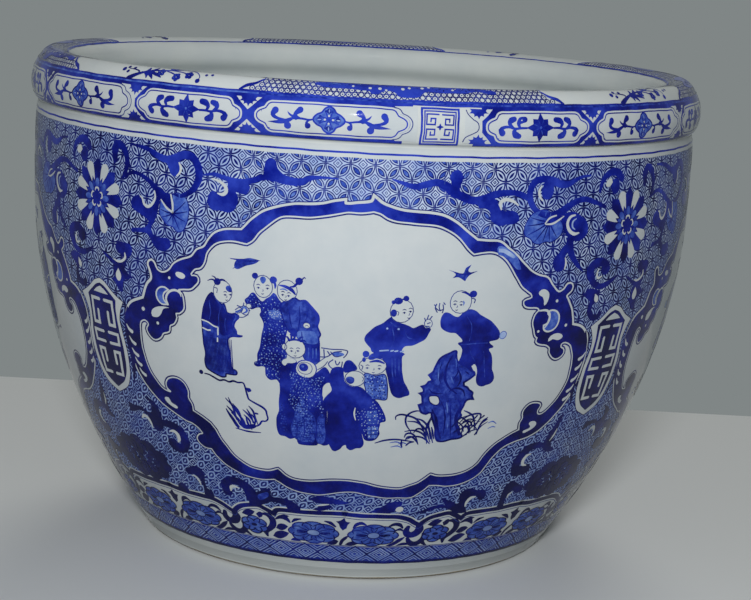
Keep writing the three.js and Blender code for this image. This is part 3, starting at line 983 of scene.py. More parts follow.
def paint_right_half(pen, small):
    """The scrolls from the middle of a panel's top to the middle of the next emblem on its right, in millimetres."""
    # Along the top, and the big hook.
    pen.stroke("deep", 3, "15.6,12.4 21,14 27,15.8 33,14.4 38.4,13.2 43,14.6 47,17.4 52,20 58,22 64,21.4 70,19.2 "
        "76,18 82,18 88,20 92,22.6", [0.8, 2, 3, 3.6, 3.8, 4.6, 5, 4.4, 4, 4.4, 4, 3.4, 3, 3, 2])
    pen.fill("deep", 3, "44.4,17.6! 46.2,13.6 45.2,10.4 46.4,7.6 48.6,6.4 51,7.2 52.4,9.8 51.8,13 50.8,16 53,21!")
    pen.stroke("fine", 3, "42.6,14 42.8,8 45.4,4.4 49,3.4 52.6,5.2 54.2,9.6 53.4,14.4", 0.5)
    pen.fill("deep", 3, "60,22! 66,21 71.4,21.6 73,25 75.6,27.6 79,27.4 82.4,27.6 85,30 85.2,33 82,34.6 78.6,34.6 "
        "74.6,35.4 71,34 68.4,31.6 68.6,28.6 66.4,26.6 62,26!")
    small.stroke("white", 4, "74.4,26.8 73.8,23.6 76,21.6 80,22 84.4,24.6", [0.8, 1.8, 2, 1.8, 0.6])
    pen.stroke("deep", 3, "130.4,9.6 125,10.2 120,12 115,14 109.6,13.6 104,11.6 98.6,10.8 94.2,12 91,16 91,21 "
        "93.4,25.6 98,29 103.6,30.6", [1, 1.6, 2.4, 3.4, 4, 4.2, 3.6, 3.6, 3.8, 3.6, 3.2, 3, 3.4])
    pen.fill("deep", 3, "99.4,12.2 105,12.4 105.6,16 105.2,19.4 102.6,21.8 99.4,21.2 98,18.2 98.6,15")
    small.stroke("white", 4, "97.6,14.2 96.4,17.2 97.2,20.6 99,22.6", [0.6, 1.5, 1.5, 0.6])
    pen.stroke("deep", 3, "99,29.6 105,30.6 110.4,29 116,25.8 122,23.2 128.6,22.6 136,24.6 143,27",
        [3, 4, 4.4, 4, 3.4, 3, 2.6, 2])
    fan = (
        "104.6,28.8 110,31.4! 113.4,36.4 112.6,40.6 109.8,43.2 106.4,44.6 102.4,44.4 98.6,45.4 95.4,44.8 92.6,42.4 "
        "89.6,40.6 89,37 90.6,32.6 93.4,29.2 97.6,27.6 101.6,27.6"
    )
    fan_leaf(pen, small, fan, (104, 34.2), 0.1, (
        (92.4, 31), (90, 35.4), (91, 40.6), (95.6, 44), (100.6, 44.2), (105, 43.8), (109.6, 42)))
    small.fill("deep", 4, "101.4,34.6! 104.4,31.8 108.8,30.4 113,30.8! 109.6,33.4 105.8,34.8")
    small.stroke("white", 5, "101.4,34.8 104.2,31.8 108.6,30.4", [0.6, 1, 0.7])
    small.stroke("white", 5, "101.6,35 106,34.8 110.4,32.8 113.6,30.8", [0.6, 1.1, 1, 0.5])
    pen.fill("deep", 3, "112,31 116.4,28.8 121,29 125.4,31 129.6,34.2 "
        "131.4,38 130,42 126,44.6 121.6,44.8 118.2,43.4 114.6,39.4 112.6,35.2")
    small.stroke("white", 4, "121.4,30.6 118,31.6 116.4,35 118,38.6 121.4,40.8 124.6,40.4",
        [0.8, 1.6, 1.8, 2, 2, 0.8])
    small.stroke("pale", 4, "122.4,32.4 120,34 120,36.8 122,38.4", [0.5, 1, 1, 0.5])
    pen.stroke("deep", 3, "119,43.6 119.4,48.6 122,53.6 126,58 130.4,61.8", [5, 4.6, 3.6, 2.6, 0.9])
    pen.stroke("deep", 3, "119.4,46 115.4,50 113.4,54.4", [3, 4.6, 6])
    pen.dot("deep", 3, 113.2, 56, 4.6, 5)
    small.stroke("white", 4, "117,60 117.4,56.6 116.6,53.4", [0.5, 1.3, 0.5])
    pen.stroke("deep", 3, "138.4,18.4 139.6,13.6 143,10 147.6,8.4 152,9.2 155.4,12.2", [2, 3, 3.6, 4.2, 5, 4.4])
    pen.dot("deep", 3, 150.4, 16.4, 3.8, 4.2)
    small.fill("white", 4, "143.4,13 146.4,12 148,14.2! 145.6,16.4 142.6,15.6")
    pen.stroke("deep", 3, "149.4,59.4 144.6,57.6 139.4,58.4 136.4,61.4 137.6,65.4 140.4,69.4 146,71.4 153,70 "
        "160,66.6", [4, 5, 5.4, 5.4, 5, 4, 3.4, 3, 1])
    pen.dot("deep", 3, 148.6, 61.8, 3.6, 3.4)
    small.stroke("white", 4, "146.4,65.6 142.8,66.4 142,63.4 143,61", [0.6, 1.4, 1.3, 0.5])
    pen.fill("deep", 3, "133,75.4! 137,72.4 141.4,72.6 145.6,74 146.4,78 143.4,80.4 142,84 143.6,87 147.6,87.6 "
        "149.4,85! 151,88 148.4,91 143.6,91 140,88.4 138.8,84 140,80 137,78!")
    small.fill("white", 4, "143,75.4! 146,77.6 145.6,80.6 143.2,79.4")


def paint_lower_left(pen, small):
    """The scrolls under a panel's left-hand side, in millimetres."""
    pen.fill("deep", 3, ("-136.6,150.4! -132.6,151 -128,153.4 -125.4,158 -124.6,163 -125.4,168.4 -128,171.6 "
        "-131.4,172.8 -134.2,171.6 -135.4,167.6 -137.2,164 -140.6,161.8 -145,161.4 -149,163 -154,164! -154,158! "
        "-148,158.8 -142,158.6 -137.4,160.8 -133.6,160.4! -131.8,156.6 -133.4,153"))
    small.stroke("white", 4, "-143.8,166.2 -141.4,164.4 -138.4,165 -136.2,168 -135.6,171.8", [1, 2.2, 2.2, 1.6, 0.5])
    pen.stroke("deep", 3, "-128,166.4 -122,165.6 -116,166.8 -111.2,170.4 -110,176 -111.8,181", [3.4, 4.8, 6, 7, 7, 5])
    pen.fill("deep", 3, "-124.4,177 -121.4,175.2 -118,175.8 -114.4,178 "
        "-112,182 -115,184.4 -119.4,184 -123,182.4 -124.6,179.6")
    small.stroke("white", 4, "-120.6,170.4 -117.4,169.8 -114.8,171.6 -114.4,174.6 -115.8,176.6",
        [0.8, 2, 2.6, 2.4, 1])
    pen.fill("deep", 3, ("-116.4,195.6 -112.6,194 -108.4,192 -104.4,191.8 -101.2,194.4 "
        "-100.8,198.4 -102,203 -101.6,207 -98,208.4 -97.4,213.4! -106,213.4! "
        "-104.6,207.4 -105.4,203 -107.4,200 -110.4,198.6 -114.4,199.4 -116.8,197.8"))
    small.stroke("white", 4, "-112.4,199.8 -109.4,199.8 -107,202.4 -106.2,206", [0.5, 1.3, 1.5, 0.6])
    pen.fill("deep", 3, "-131,213.4! -128,209 -123.6,208 -120.8,210 -119.6,213.4!")
    pen.stroke("deep", 3, "-84.6,206.2 -85.2,201.6 -81.6,197.8 -76,197 -70.8,198.8 -67.2,202.4 -65.8,208",
        [6.4, 6, 5.6, 5.8, 6.2, 7.2, 8])
    small.stroke("white", 4, "-81.6,205.4 -81,202.4 -78.4,201.2 -74.6,202", [0.7, 2, 2, 0.6])
    pen.fill("deep", 3, ("-69.4,213! -68,206 -64,203.4 -58.6,201.4 -54.6,199.2 -51.4,200.6 -51.2,204.4 -46,205 "
        "-39.2,205.4 -34,207.8 -31,211.6 -32.4,214! -40.4,214! -41.6,210.6 -46.6,209.4 -52,209 -57,211 -62,213.4!"))
    pen.fill("royal", 4, "-61.6,205.4 -57.4,203 -53.8,202 -53.2,204.4 -56.2,206.8 -60.4,208.4")
    pen.fill("deep", 3, "-24.4,203.2! -20.6,201 -15.6,200.2 -9,201.2 "
        "-2.4,202.6 3.4,204.8! -3,206 -9,205.6 -15,206.4 -20.4,205.8")
    pen.fill("deep", 3, "-22.6,211.4! -17.4,208.6 -11.6,206.6 -8.6,207.8 -12,210.4 -17,212")
    small.stroke("white", 4, "-20.4,208.4 -15.4,207.2 -10.6,206.2", [0.5, 1.4, 0.5])


def paint_lower_right(pen, small):
    """The scrolls under a panel's right-hand side, in millimetres."""
    pen.fill("deep", 3, "17.4,210.8! 22,208.4 27.4,205.4 32,203 37,202.4 40,203 39,206 36.2,208.8 33.4,211 25,211.6")
    small.dot("white", 4, 38.4, 208.6, 2.2, 2.2)
    pen.fill("deep", 3, ("47.4,211.8! 55,209.8 61.4,206.8 66.6,206 71.2,206.4! 68.8,203.2 "
        "66.4,200.2! 71.4,202 76.6,204.4 81,205.4 80,200 81.2,196.6 85.2,194.8 89.6,195.4 "
        "93.6,196.8 97.6,196.6 100.8,199.2 101.2,202.8 98.8,204.8 96,203.8 94.2,201.6 90.8,201 "
        "88.2,203.4 87.4,206.8 89,210.4 91,213.6! 82,213.6 76,210.4 70,208.6 63.4,209.2 56,211.6"))
    small.stroke("white", 4, "87.6,208.4 87.6,205 89.6,202.2 93.2,201.8", [0.8, 2, 2.2, 0.9])
    pen.stroke("deep", 3, "136.6,169.6 130.4,168.4 123.6,169.4 118.8,173 117,178.4 117.4,183.4 119,187.6",
        [2.6, 4.4, 5.6, 6, 6.2, 5.6, 3.4])
    pen.fill("deep", 3, "119.4,183.4! 122.4,181.6 126.6,181 130.2,183 131,186 128.4,188.2 124.4,189 120,189.4")
    small.stroke("white", 4, "126,182 122.8,180.8 121.8,177.6 123.4,174.8 126.2,174", [0.8, 2, 2.4, 2, 0.8])
    pen.stroke("deep", 3, "141.6,150.4 140.2,156 139,162 137.6,168 140,171.6 144.6,173.4", [2.4, 4, 6.4, 7, 5, 2.4])
    small.stroke("white", 4, "141.6,158.4 140.8,163 138.8,166.4", [0.5, 1.5, 0.5])
    pen.fill("deep", 3, ("115,199 116.2,195.2 120,193 124.2,194.4 128.4,196.8 132.4,197.8 133.6,200.6 131,203.2 "
        "127,202.8 124.2,201 121.4,203.4 121,208 122.6,213.4! 116,213.4! 115.8,207 114.8,203"))
    small.stroke("white", 4, "121.8,206.4 122,203.4 124.4,201.8", [0.5, 1.4, 0.6])


MEDALLION_AT, PEONY_AT = 38.6, 197


def paint_emblem(middle):
    """A medallion over a cartouche with a plain fret, and the peony under them."""
    pen = Pen(shift=middle * DEGREE, step=1.4)
    paint_medallion(pen)
    paint_shield(pen)
    paint_peony(pen)


def paint_medallion(pen):
    def turned(text, s, c):
        return changed(text, lambda across, out: (across * c + out * s, MEDALLION_AT - out * c + across * s))

    pen.dot("deep", 3, 0, MEDALLION_AT, 10.4)
    for upright, aslant in zip(spokes(8), spokes(8, 0.5)):
        pen.fill("deep", 3, turned("-3.6,8 -4.4,13 -3,18 0,21.6! 3,18 4.4,13 3.6,8", *upright))
        pen.fill("mid", 4, turned("0,10.6 -1.7,8 0,4.9 1.7,8", *upright))
        petal = "-1.2,9.2! -2.3,13 -3,18.4 -1.4,19.8 0,20.4 1.4,19.8 3,18.4 2.3,13 1.2,9.2! 0.1,12!"
        pen.fill("white", 4, turned(petal, *aslant))
        pen.fill("royal", 5, turned("0,9.8 -1.2,7.8 0,6 1.2,7.8", *aslant))
    for s, c in spokes(5):
        pen.stroke("white", 5, turned("-1.6,3.4 -1.2,4.9 1.2,4.9 1.6,3.4", s, c), [0.5, 1, 1, 0.5])


def paint_shield(pen):
    edge = (
        "0,83.6! 5,85.4 11,90 19.6,94.6! 16.4,100 14.8,106 15.6,112 17,120 "
        "16.8,132 14.6,141 10,147.6 3,151.4 0,152.6! -3,151.4 -10,147.6 -14.6,141 "
        "-16.8,132 -17,120 -15.6,112 -14.8,106 -16.4,100 -19.6,94.6! -11,90 -5,85.4"
    )
    pen.outlined("white", 3, edge, "line", 0.5)
    pen.fill("deep", 4, ("0,86.6! 4,88 9,91.6 13,94.6! 12.4,99 12.2,106 12.8,112 "
        "14,120 13.8,131 11.8,139 8,144.4 2,148.4 0,149.4! -2,148.4 -8,144.4 -11.8,139 "
        "-13.8,131 -14,120 -12.8,112 -12.2,106 -12.4,99 -13,94.6! -9,91.6 -4,88"))
    pen.fill("white", 5, "0,88.4! 3.6,90 6.8,92.4! -6.8,92.4! -3.6,90")
    for side in (-1, 1):
        for ink, level, path, widths in (
            ("white", 5, "2.4,96.4! 9.4,96.4! 9.4,110.6! 4.6,110.6! 4.6,103.2", 1.9),
            ("white", 5, "2.4,140.6! 8.4,140.6! 9.8,126.6! 4.8,126.6! 4.8,134", 1.9),
            ("white", 5, "2.6,115.4! 10.8,115.4! 10.8,121.6! 2.6,121.6!", 1.8),
            ("deep", 3, "22.6,97 20.4,104 19.6,112 20.6,122 20.4,133 18,142", [1, 2.6, 3, 3, 2.8, 1]),
        ):
            pen.stroke(ink, level, changed(path, lambda x, v: (side * x, v)), widths)


def paint_peony(pen):
    for s, c in spokes(11):
        pen.dot("deep", 3, 23 * s, PEONY_AT - 11.2 * c, 6.2, 4.6)
    pen.dot("deep", 3, 0, PEONY_AT, 23, 11.6)
    petal = ((-0.5, -3), (-0.9, 0.4), (-0.5, 3), (0, 3.4), (0.5, 3), (0.9, 0.4), (0.5, -3))
    for count, across, out, rise in ((9, 4.6, 15.5, 8.6), (7, 4, 9.4, 5.2)):
        for s, c in spokes(count, 0.5):
            pen.fill("line", 4, written([(a * across * c + (out + o) * s,
                PEONY_AT - (rise + o * 0.62) * c + a * across * 0.7 * s) for a, o in petal], 2))
            vein = [((out + o) * s, PEONY_AT - (rise + o * 0.6) * c) for o in (-2, 2)]
            pen.stroke("deep", 5, written(vein, 2), [0.9, 0.4])
    pen.dot("line", 4, 0, PEONY_AT, 3.4, 2.2)
    pen.dot("deep", 5, 0, PEONY_AT, 1.6, 1.1)


# ---------------------------------------------------------------- lower border


def paint_border(start):
    """One of the nine lengths of the flowered border, in millimetres."""
    pen = Pen(shift=start * DEGREE, step=1.6)
    path = (
        "0,212.9 5,213.6 15,214.2 30,214.2 40,214.8 47,216.8 52,219.6 56,221.4! 59,218.4 "
        "63,215.8 70,214 77,213 82,215 88,217.8! 91,214.8 100,214.2 120,213.7 139.63,212.9"
    )
    pen.fill("white", 2, path + "! 139.63,240! 0,240!")
    pen.stroke("white", 2, path, 5)
    pen.stroke("deep", 3, path, 3.2)
    pen.stroke("fine", 3, read(path)[0] + [0, 3], 0.5)
    level = 229.8
    for middle in (22.8, 117.2):
        for s, c in spokes(8):
            pen.dot("mid", 4, middle + 11 * s, level - 5 * c, 6.2, 4)
            pen.ring("deep", 5, middle + 11 * s, level - 5 * c, 6.2, 4, 0.75)
        pen.dot("mid", 6, middle, level, 11.4, 5.2)
        for s, c in spokes(16, 0.5):
            ray = written([(middle + 6 * s, level - 3 * c), (middle + 12.6 * s, level - 6.4 * c)], 2)
            pen.stroke("deep", 7, ray, [0.7, 0.3])
        pen.ringed(7, middle, level, 3.6, 2.4, 0.6, "pale", "deep")
    middle, level = 71, 229.2
    for s, c in spokes(6):
        pen.dot("mid", 4, middle + 5.6 * s, level - 3.9 * c, 4, 3.2)
        pen.ring("deep", 5, middle + 5.6 * s, level - 3.9 * c, 4, 3.2, 0.8)
    pen.dot("mid", 6, middle, level, 3.8, 2.6)
    pen.dot("deep", 7, middle, level, 1.8, 1.2)
    for spray, widths in (
        ("7.4,223.8 9.6,221 13,220 16.6,221.6", [1, 2.6, 2.6, 1]),
        ("33,222.6 37,220.4 41,220.8 44,223.6", [1, 2.4, 2.8, 1]), ("38,226.4 42,224.6 45,226.2", [0.8, 2.2, 0.8]),
        ("56,221.6 57,225 54.4,228.8 50,229.4 47.2,226.6 48,223", [4, 5.2, 5.4, 4.8, 4, 2.6]),
        ("49.4,232.4 52,236 56.6,237.4 61,235.4 62.4,231.6 60.8,228.6", [2, 3.6, 4.2, 4, 3.4, 1.6]),
        ("61.4,234 63.4,237 66.4,239", [2, 2.4, 1]),
        ("79.6,219.4 83.6,219.6 86.4,222.8 86,227.4 83,231 79.4,233.8 80,237.4", [2, 3.6, 4, 4, 3.6, 3.4, 1.4]),
        ("89.4,221.8 93,220 97,220.8 99.6,223.4", [1.2, 3, 3.2, 1.2]), ("101.4,223 104,220.8 108,219.8", [1, 2.4, 1]),
        ("126,220 130,221 133.6,223.8", [1, 2.4, 1.2]), ("0,217 0,221 -0.4,226", [1.2, 2.4, 1]),
    ):
        pen.stroke("deep", 3, spray, widths)
    for leaf in (
        "-6,219.4! -3,218.6 0,216.4! 1.6,219 5,219.6! 3.2,221.6 2.2,224.6! -0.6,226 -3,223.6 -3.6,221.4",
        "-3,238.8! -2,235 1,232 4,230.4! 3.4,233 0.6,236 -1,239", "1.4,238.6! 5,236 9,235.4 13,236.6! 9,238.6 5,239",
        "33.6,238.6! 38,236 42.6,232.6 47.6,230.6! 46,233.6 42,237 38,239", "41,239! 45,236.4 49,236 51.4,238!",
        "62.4,221.6! 65,218.8 69.6,217.4 73.4,218.6! 71.4,221 67,222.8",
        "74,220.4! 77,218 79.4,219 78.6,222 76,223.4!",
        "84.4,236.8! 88,232.6 93,231 98.4,232.4! 95,236 90,238.4",
        "88,229.6! 90.6,226 95,225.2 98,227! 95,229.8 91.6,230.8",
        "92.6,218.6! 96,217.6 100,218.6! 97,220", "98.6,238.4! 101.4,235.8 105,236.6 107.4,238.6!",
        "127,238.8! 130.4,235.8 134.4,234.4 136.4,236! 134,238.6",
    ):
        pen.fill("deep", 3, leaf)
    pen.strokes("white", 4, [0.5, 1.5, 0.5], "50.6,223.4 52.8,224.4 52,226.6", "80.4,222.4 83,223.6 83.4,226.4")


# ---------------------------------------------------------------- rim

# On the rim x is in degrees, and w runs up and over it in millimetres.
RIM = {"unit": DEGREE, "down": V_THROAT + 0.7, "sense": -1, "step": 1.0, "grid": (4, 1.4), "zone": "_rim"}
RIM_DEGREE = math.radians(203)
# Where the seal square starts and ends, and the level of the cartouches' middles.
SEAL = (7.0, 16.9)
RIM_MIDDLE = 15.4
# The lengths of the cartouches in degrees, from the seal square round to it again: a star and a blossom by turns.
LENGTHS = (19.3, 24.3) + (19.5, 24.0) * 5 + (19.5, 25.3, 19.9, 24.3)


def round_points(centre, at, radii):
    """Points round a centre on the rim, their radii in millimetres one after another."""
    return written([(centre + r * s / RIM_DEGREE, at + r * c) for r, (s, c) in zip(radii, spokes(len(radii)))])


def moved(text, middle, side=1, turned=False):
    """Points of a rim motif, moved to a middle, turned over to its other side or upside down."""
    return changed(text, lambda x, w: (middle + side * x, 2 * RIM_MIDDLE - w if turned else w))


def paint_cartouche(pen, middle, length, star):
    """A white lobed cartouche with sprays and a star or a blossom."""
    tip = length / 2 - 0.75
    half = ((-2.7, 23.9), (-1.85, 22.8), (-1.4, 20.3), (-0.6, 19), (-0.12, 17.3), (0, RIM_MIDDLE), (-0.12, 13.5),
            (-0.6, 11.8), (-1.4, 10.5), (-1.85, 8), (-2.7, 6.9))
    words = [written([(middle + tip + d, w)], 3, "!" * (d == -1.4)) for d, w in half]
    words += [written([(middle - tip - d, w)], 3, "!" * (d == -1.4)) for d, w in reversed(half)]
    field = pen.fill("white", 4, " ".join(words))[0]
    pen.edge("deep", 5, inset(field, 1.25), 0.65)
    middle -= 0 if star else 0.3

    def ray(ink, level, s, c, start, end, rise, widths):
        near = middle + start * s / RIM_DEGREE, RIM_MIDDLE + start * c
        far = middle + end * s / RIM_DEGREE, RIM_MIDDLE + rise * c
        pen.stroke(ink, level, (near, far), widths)

    if star:
        radii = [8, 4.6, 6.4, 4.8, 8.6, 4.8, 6.4, 4.6] * 2
        pen.fill("deep", 5, round_points(middle, RIM_MIDDLE, radii).replace(" ", "! ") + "!")
        for s, c in spokes(8, 0.5):
            ray("royal", 6, s, c, 1.5, 4, 4, [0.5, 0.3])
        pen.dot("mid", 6, middle, RIM_MIDDLE, 0.7)
        sprays = (
            ("2.3,15.3 3.3,15.3 4.2,14.9 5.2,15.6 6.1,15.2 6.5,13.9 6.2,12.2", [1.1, 1.3, 1.3, 1.4, 1.8, 2.8, 3.4]),
            ("4,15 4.3,13.6 4,11.6 3.5,10.9", [1, 2.4, 3.8, 3]),
            ("3.4,15.3 3.7,17.4 3.3,19.2 2.6,19.7", [1, 2.2, 3.4, 3]),
            ("4.5,15.3 5.1,17.2 4.9,19.1 4.4,19.8", [1, 2.2, 3.4, 2.8]),
        )
        leaves = ()
    else:
        petals = round_points(middle, RIM_MIDDLE, [6.9, 6.3, 5.3, 6.6, 8.1, 6.6, 5.3, 6.3] * 2)
        pen.outlined("mid", 5, petals, "deep", 0.9)
        for s, c in spokes(8, 0.5):
            ray("deep", 6, s, c, 1.4, 5.6, 5.2, [0.9, 0.45])
        for s, c in spokes(4):
            for a, o, r in ((0, 4.6, 1.4), (-1.7, 4.4, 0.7), (1.7, 4.4, 0.7)):
                pen.dot("royal", 6, middle + (a * c + o * s) / RIM_DEGREE, RIM_MIDDLE + o * c - a * s, r)
            pen.dot("white", 7, middle + 2 * s / RIM_DEGREE, RIM_MIDDLE + 2 * c, 0.55)
            ray("pale", 7, s, c, 3.8, 5.8, 5.6, [0.3, 0.6, 0.2])
        pen.dot("deep", 7, middle, RIM_MIDDLE, 0.9)
        sprays = (
            ("2.3,15.3 2.9,14.9 4,15.3 5.2,15.3 6,14.4", [0.8, 1, 1.1, 1.3, 1.6]),
            ("2.7,15 3.2,13.7 3,11.9", [0.6, 1.2, 3]),
            ("4.8,15.6 4.9,17.6 4.3,19.7", [2.4, 2, 3.5]),
            ("6.3,13.6 6,11.2", [2, 3.8]),
            ("6.6,14.3 7.6,14.7 8.2,16.2 7.9,18.7", [1, 1.6, 2.2, 3.6]),
        )
        leaves = (
            "4,15.5! 4.6,16.8 5,18.2! 5.3,17.1 6.1,18.8! 5.9,17.2 5.4,15.8 5,15.2 4.4,15",
            "5,15.4! 6,15 7,14.3 7.7,13.5 9,12.4! 7.6,11.9 6.9,12 6.3,12.4 5.6,13.6",
        )
    for side in (1, -1):
        for path, widths in sprays:
            pen.stroke("deep", 5, moved(path, middle, side), widths)
        for leaf in leaves:
            pen.fill("deep", 5, moved(leaf, middle, side))


def paint_corners(pen, middle, white, leaf_at=None):
    """The white and the small spiky leaf in the upper and lower corner between two cartouches."""
    for turned in (False, True):
        pen.fill("white", 4, moved(white, middle, 1, turned))
        pen.fill("deep", 5, moved("-1.35,24.6! -1.1,23.4 -1.5,22.2! -0.75,22 -0.75,20.4! -0.3,21 0,19.2! 0.3,21 "
            "0.75,20.4! 0.75,22 1.5,22.2! 1.1,23.4 1.35,24.6!", middle if leaf_at is None else leaf_at, 1, turned))


def paint_free_tip(pen, tip):
    """The end of a cartouche where the thick frame stops short and two thin lines go round it."""
    pen.fill("white", 4, moved("-2.3,24.6! 1.1,24.6! 1.1,6.2! -2,6.2! -2.2,6.9 -1.9,8 -1.4,10.4! -0.6,11.7 -0.1,13.4 "
        "0.05,15.4 -0.1,17.4 -0.6,19.1 -1.4,20.4! -1.9,22.8", tip))
    pen.stroke("fine", 5, moved("-2.5,24.2 -1.5,23 -1.05,20.8! -0.2,19.4 0.25,17.5 0.4,15.4 0.25,13.3 -0.2,11.4 "
        "-1.05,10! -1.5,7.8 -2.5,6.6", tip), 0.5)


def paint_seal_square(pen):
    """The square between two cartouches: a plain key fret round a flower."""
    left, right, low, high = 8, 13.6, 4.9, 24.4
    middle, level = (left + right) / 2, (low + high) / 2
    for share, width in ((0.97, 1.1), (0.82, 0.7)):
        a, b = (right - left) / 2 * share, (high - low) / 2 * share
        square = [(middle + x * a, level + w * b) for x, w in ((-1, -1), (1, -1), (1, 1), (-1, 1))]
        pen.stroke("deep", 5, written(square, 3, "!"), width, closed=True)
    path = ((0.28, 6.4), (2.0, 6.4), (2.0, 1.2), (0.75, 1.2), (0.75, 4.2), (1.4, 4.2), (1.4, 2.6))
    for sx in (-1, 1):
        for sw in (-1, 1):
            pen.stroke("deep", 5, written([(middle + sx * x, level + sw * w) for x, w in path], 3, "!"), 0.75)
    pen.fill("deep", 5, round_points(middle, level, [1.9, 0.8] * 4))


def honeycomb(pen, start, end, masses):
    """A lip panel of small ringed cells between bracketed ends, with flowering masses at some middles."""
    half = ((0, 28.2), (1, 30.8), (2.3, 32.8), (3.3, 36), (3.3, 41), (2.3, 44.2), (1, 46.2), (0, 48.4))
    left = " ".join(f"{start + x},{w}" for x, w in half)
    right = " ".join(f"{end - x},{w}" for x, w in half[::-1])
    edge = f"{left}! {right}!"
    field = pen.fill("white", 2, edge)[0]
    # A degree is 3.35 mm long here, and a cell 3 mm wide.
    count = int((end - start) * 3.35 / 3.0)
    pitch = (end - start) / count
    cells = np.array([
        (start + (i + 0.5 * (k % 2)) * pitch, 29.6 + 2.5 * k) for k in range(8) for i in range(count + 1)
    ])
    placed = pen.place(cells)
    placed = placed[inside(placed, [field]) & (nearest(placed, field) > 1.1)]
    copies("line_rim", 3, *outline(circle(10) * 1.36, 0.6), placed)
    copies("line_rim", 3, *solid(circle(5) * 0.45), placed[np.arange(len(placed)) % 5 < 3])
    pen.stroke("deep", 5, edge, 0.6, closed=True)
    for side, at in ((1, start), (-1, end)):
        pen.stroke("deep", 6, moved("0,28.3 1,30.8 2.3,32.8 3.3,36", at, side), [1.2, 2, 1.6, 0.8])
        pen.stroke("deep", 6, moved("0,48.3 1,46.2 2.3,44.2 3.3,41", at, side), [1, 1.6, 1.4, 0.8])
    for middle in masses:
        pen.fill("deep", 5, moved("-11.4,34 -9.4,33 -7,33 -5,32.3 -4.2,32.4 -3.8,30.9 -2.8,31 -2.2,32.4 -1,33 "
            "-0.2,31.4 0.2,29.9 1.8,29.3 3.2,29.8 3.8,32 4.6,33.6 7.6,33.1 10.4,33.5 12.4,34.8 14,33.6 15.4,34.6 "
            "13.8,36.8 10.8,38.2 7,38.8 5.4,41.6 3,43.6 0.4,44.2 -2.4,42.8 -4.4,40 -7.6,39.4 -10.6,37.6 -12.4,35.8",
            middle))
        for x, w, r in ((-2.6, 34.4, 0.9), (-4, 34.2, 0.8), (-1.7, 33.4, 0.7), (0.8, 34.6, 0.9), (1.8, 35.6, 0.8),
            (-6.6, 35, 0.7), (3.8, 36, 0.9), (4.8, 37, 0.8), (-2.6, 38.6, 0.9), (0.6, 39.4, 0.9), (8.4, 35.4, 0.7)):
            pen.dot("white", 6, middle + x, w, r)
        for x, w in ((-6.4, 36.4), (1, 41.6), (6.6, 36.2), (-9.4, 35.4)):
            pen.stroke("mid", 6, moved(f"{x - 0.9},{w} {x},{w + 1} {x + 1},{w + 0.2}", middle), [0.4, 0.7, 0.4])


def prunus(pen):
    """A blossoming spray on the white of the lip, about a middle at 0."""
    for path, widths in (("-6.2,28 -5.4,29.8 -4.4,31.6 -3.4,33 -1.6,34.6 0.4,35.8 3,37.6 5.4,40.4",
        [3, 2.6, 2, 1.5, 1.3, 1, 0.8, 0.5]), ("-4.6,31.4 -4.6,33 -5.6,34 -7,34.4", [1.1, 0.9, 0.8, 0.4]), (
        "-3.6,32.8 -2.8,31.2 -2.7,29.2", [0.8, 2, 0.7]), ("-3.2,32.6 -1.9,31 -1.4,29", [0.8, 2.2, 0.7]), (
        "-2.8,33 -1,32.2 0.2,30.6", [0.8, 2.2, 0.6]), ("-3.4,33 -2.8,35 -2.9,36.8", [0.8, 2, 0.6]), (
        "-2.4,33.8 -1.6,35.6 -1.2,37.4", [0.8, 2, 0.6]), ("0.4,35.6 1.8,34.4 3,32.6", [0.6, 0.9, 0.8]), (
        "1.6,36.4 3.4,35.6 5.2,34.2", [0.6, 0.8, 0.6]), ("1.6,36.6 0.6,40.2 1.4,43.6", [0.9, 0.7, 0.4]), (
        "4,38.2 6,36.8 7,33.4 6.9,31", [0.5, 0.6, 0.5, 0.5])):
        pen.stroke("deep", 3, path, widths)
    for x, w in ((-0.2, 34), (3, 31.9), (5.1, 33.9), (1.7, 38.6), (5.2, 41), (1.4, 44)):
        for k in range(5):
            turn = k * math.tau / 5 + x
            pen.dot("deep", 4, x + 1.5 * math.sin(turn) / RIM_DEGREE, w + 1.5 * math.cos(turn), 1.25)
            pen.dot("royal", 5, x + 1.6 * math.sin(turn) / RIM_DEGREE, w + 1.6 * math.cos(turn), 0.55)
    for x, w, r in ((-8, 33.5, 1.4), (-7.2, 35.4, 1.1), (-6.9, 32.2, 1.1), (-5.9, 35, 1), (6.9, 30.6, 1.4),
        (8, 35, 0.9), (9, 35.7, 0.9), (-2, 33.6, 1.6), (7.4, 43, 0.9)):
        pen.dot("deep", 4, x, w, r)


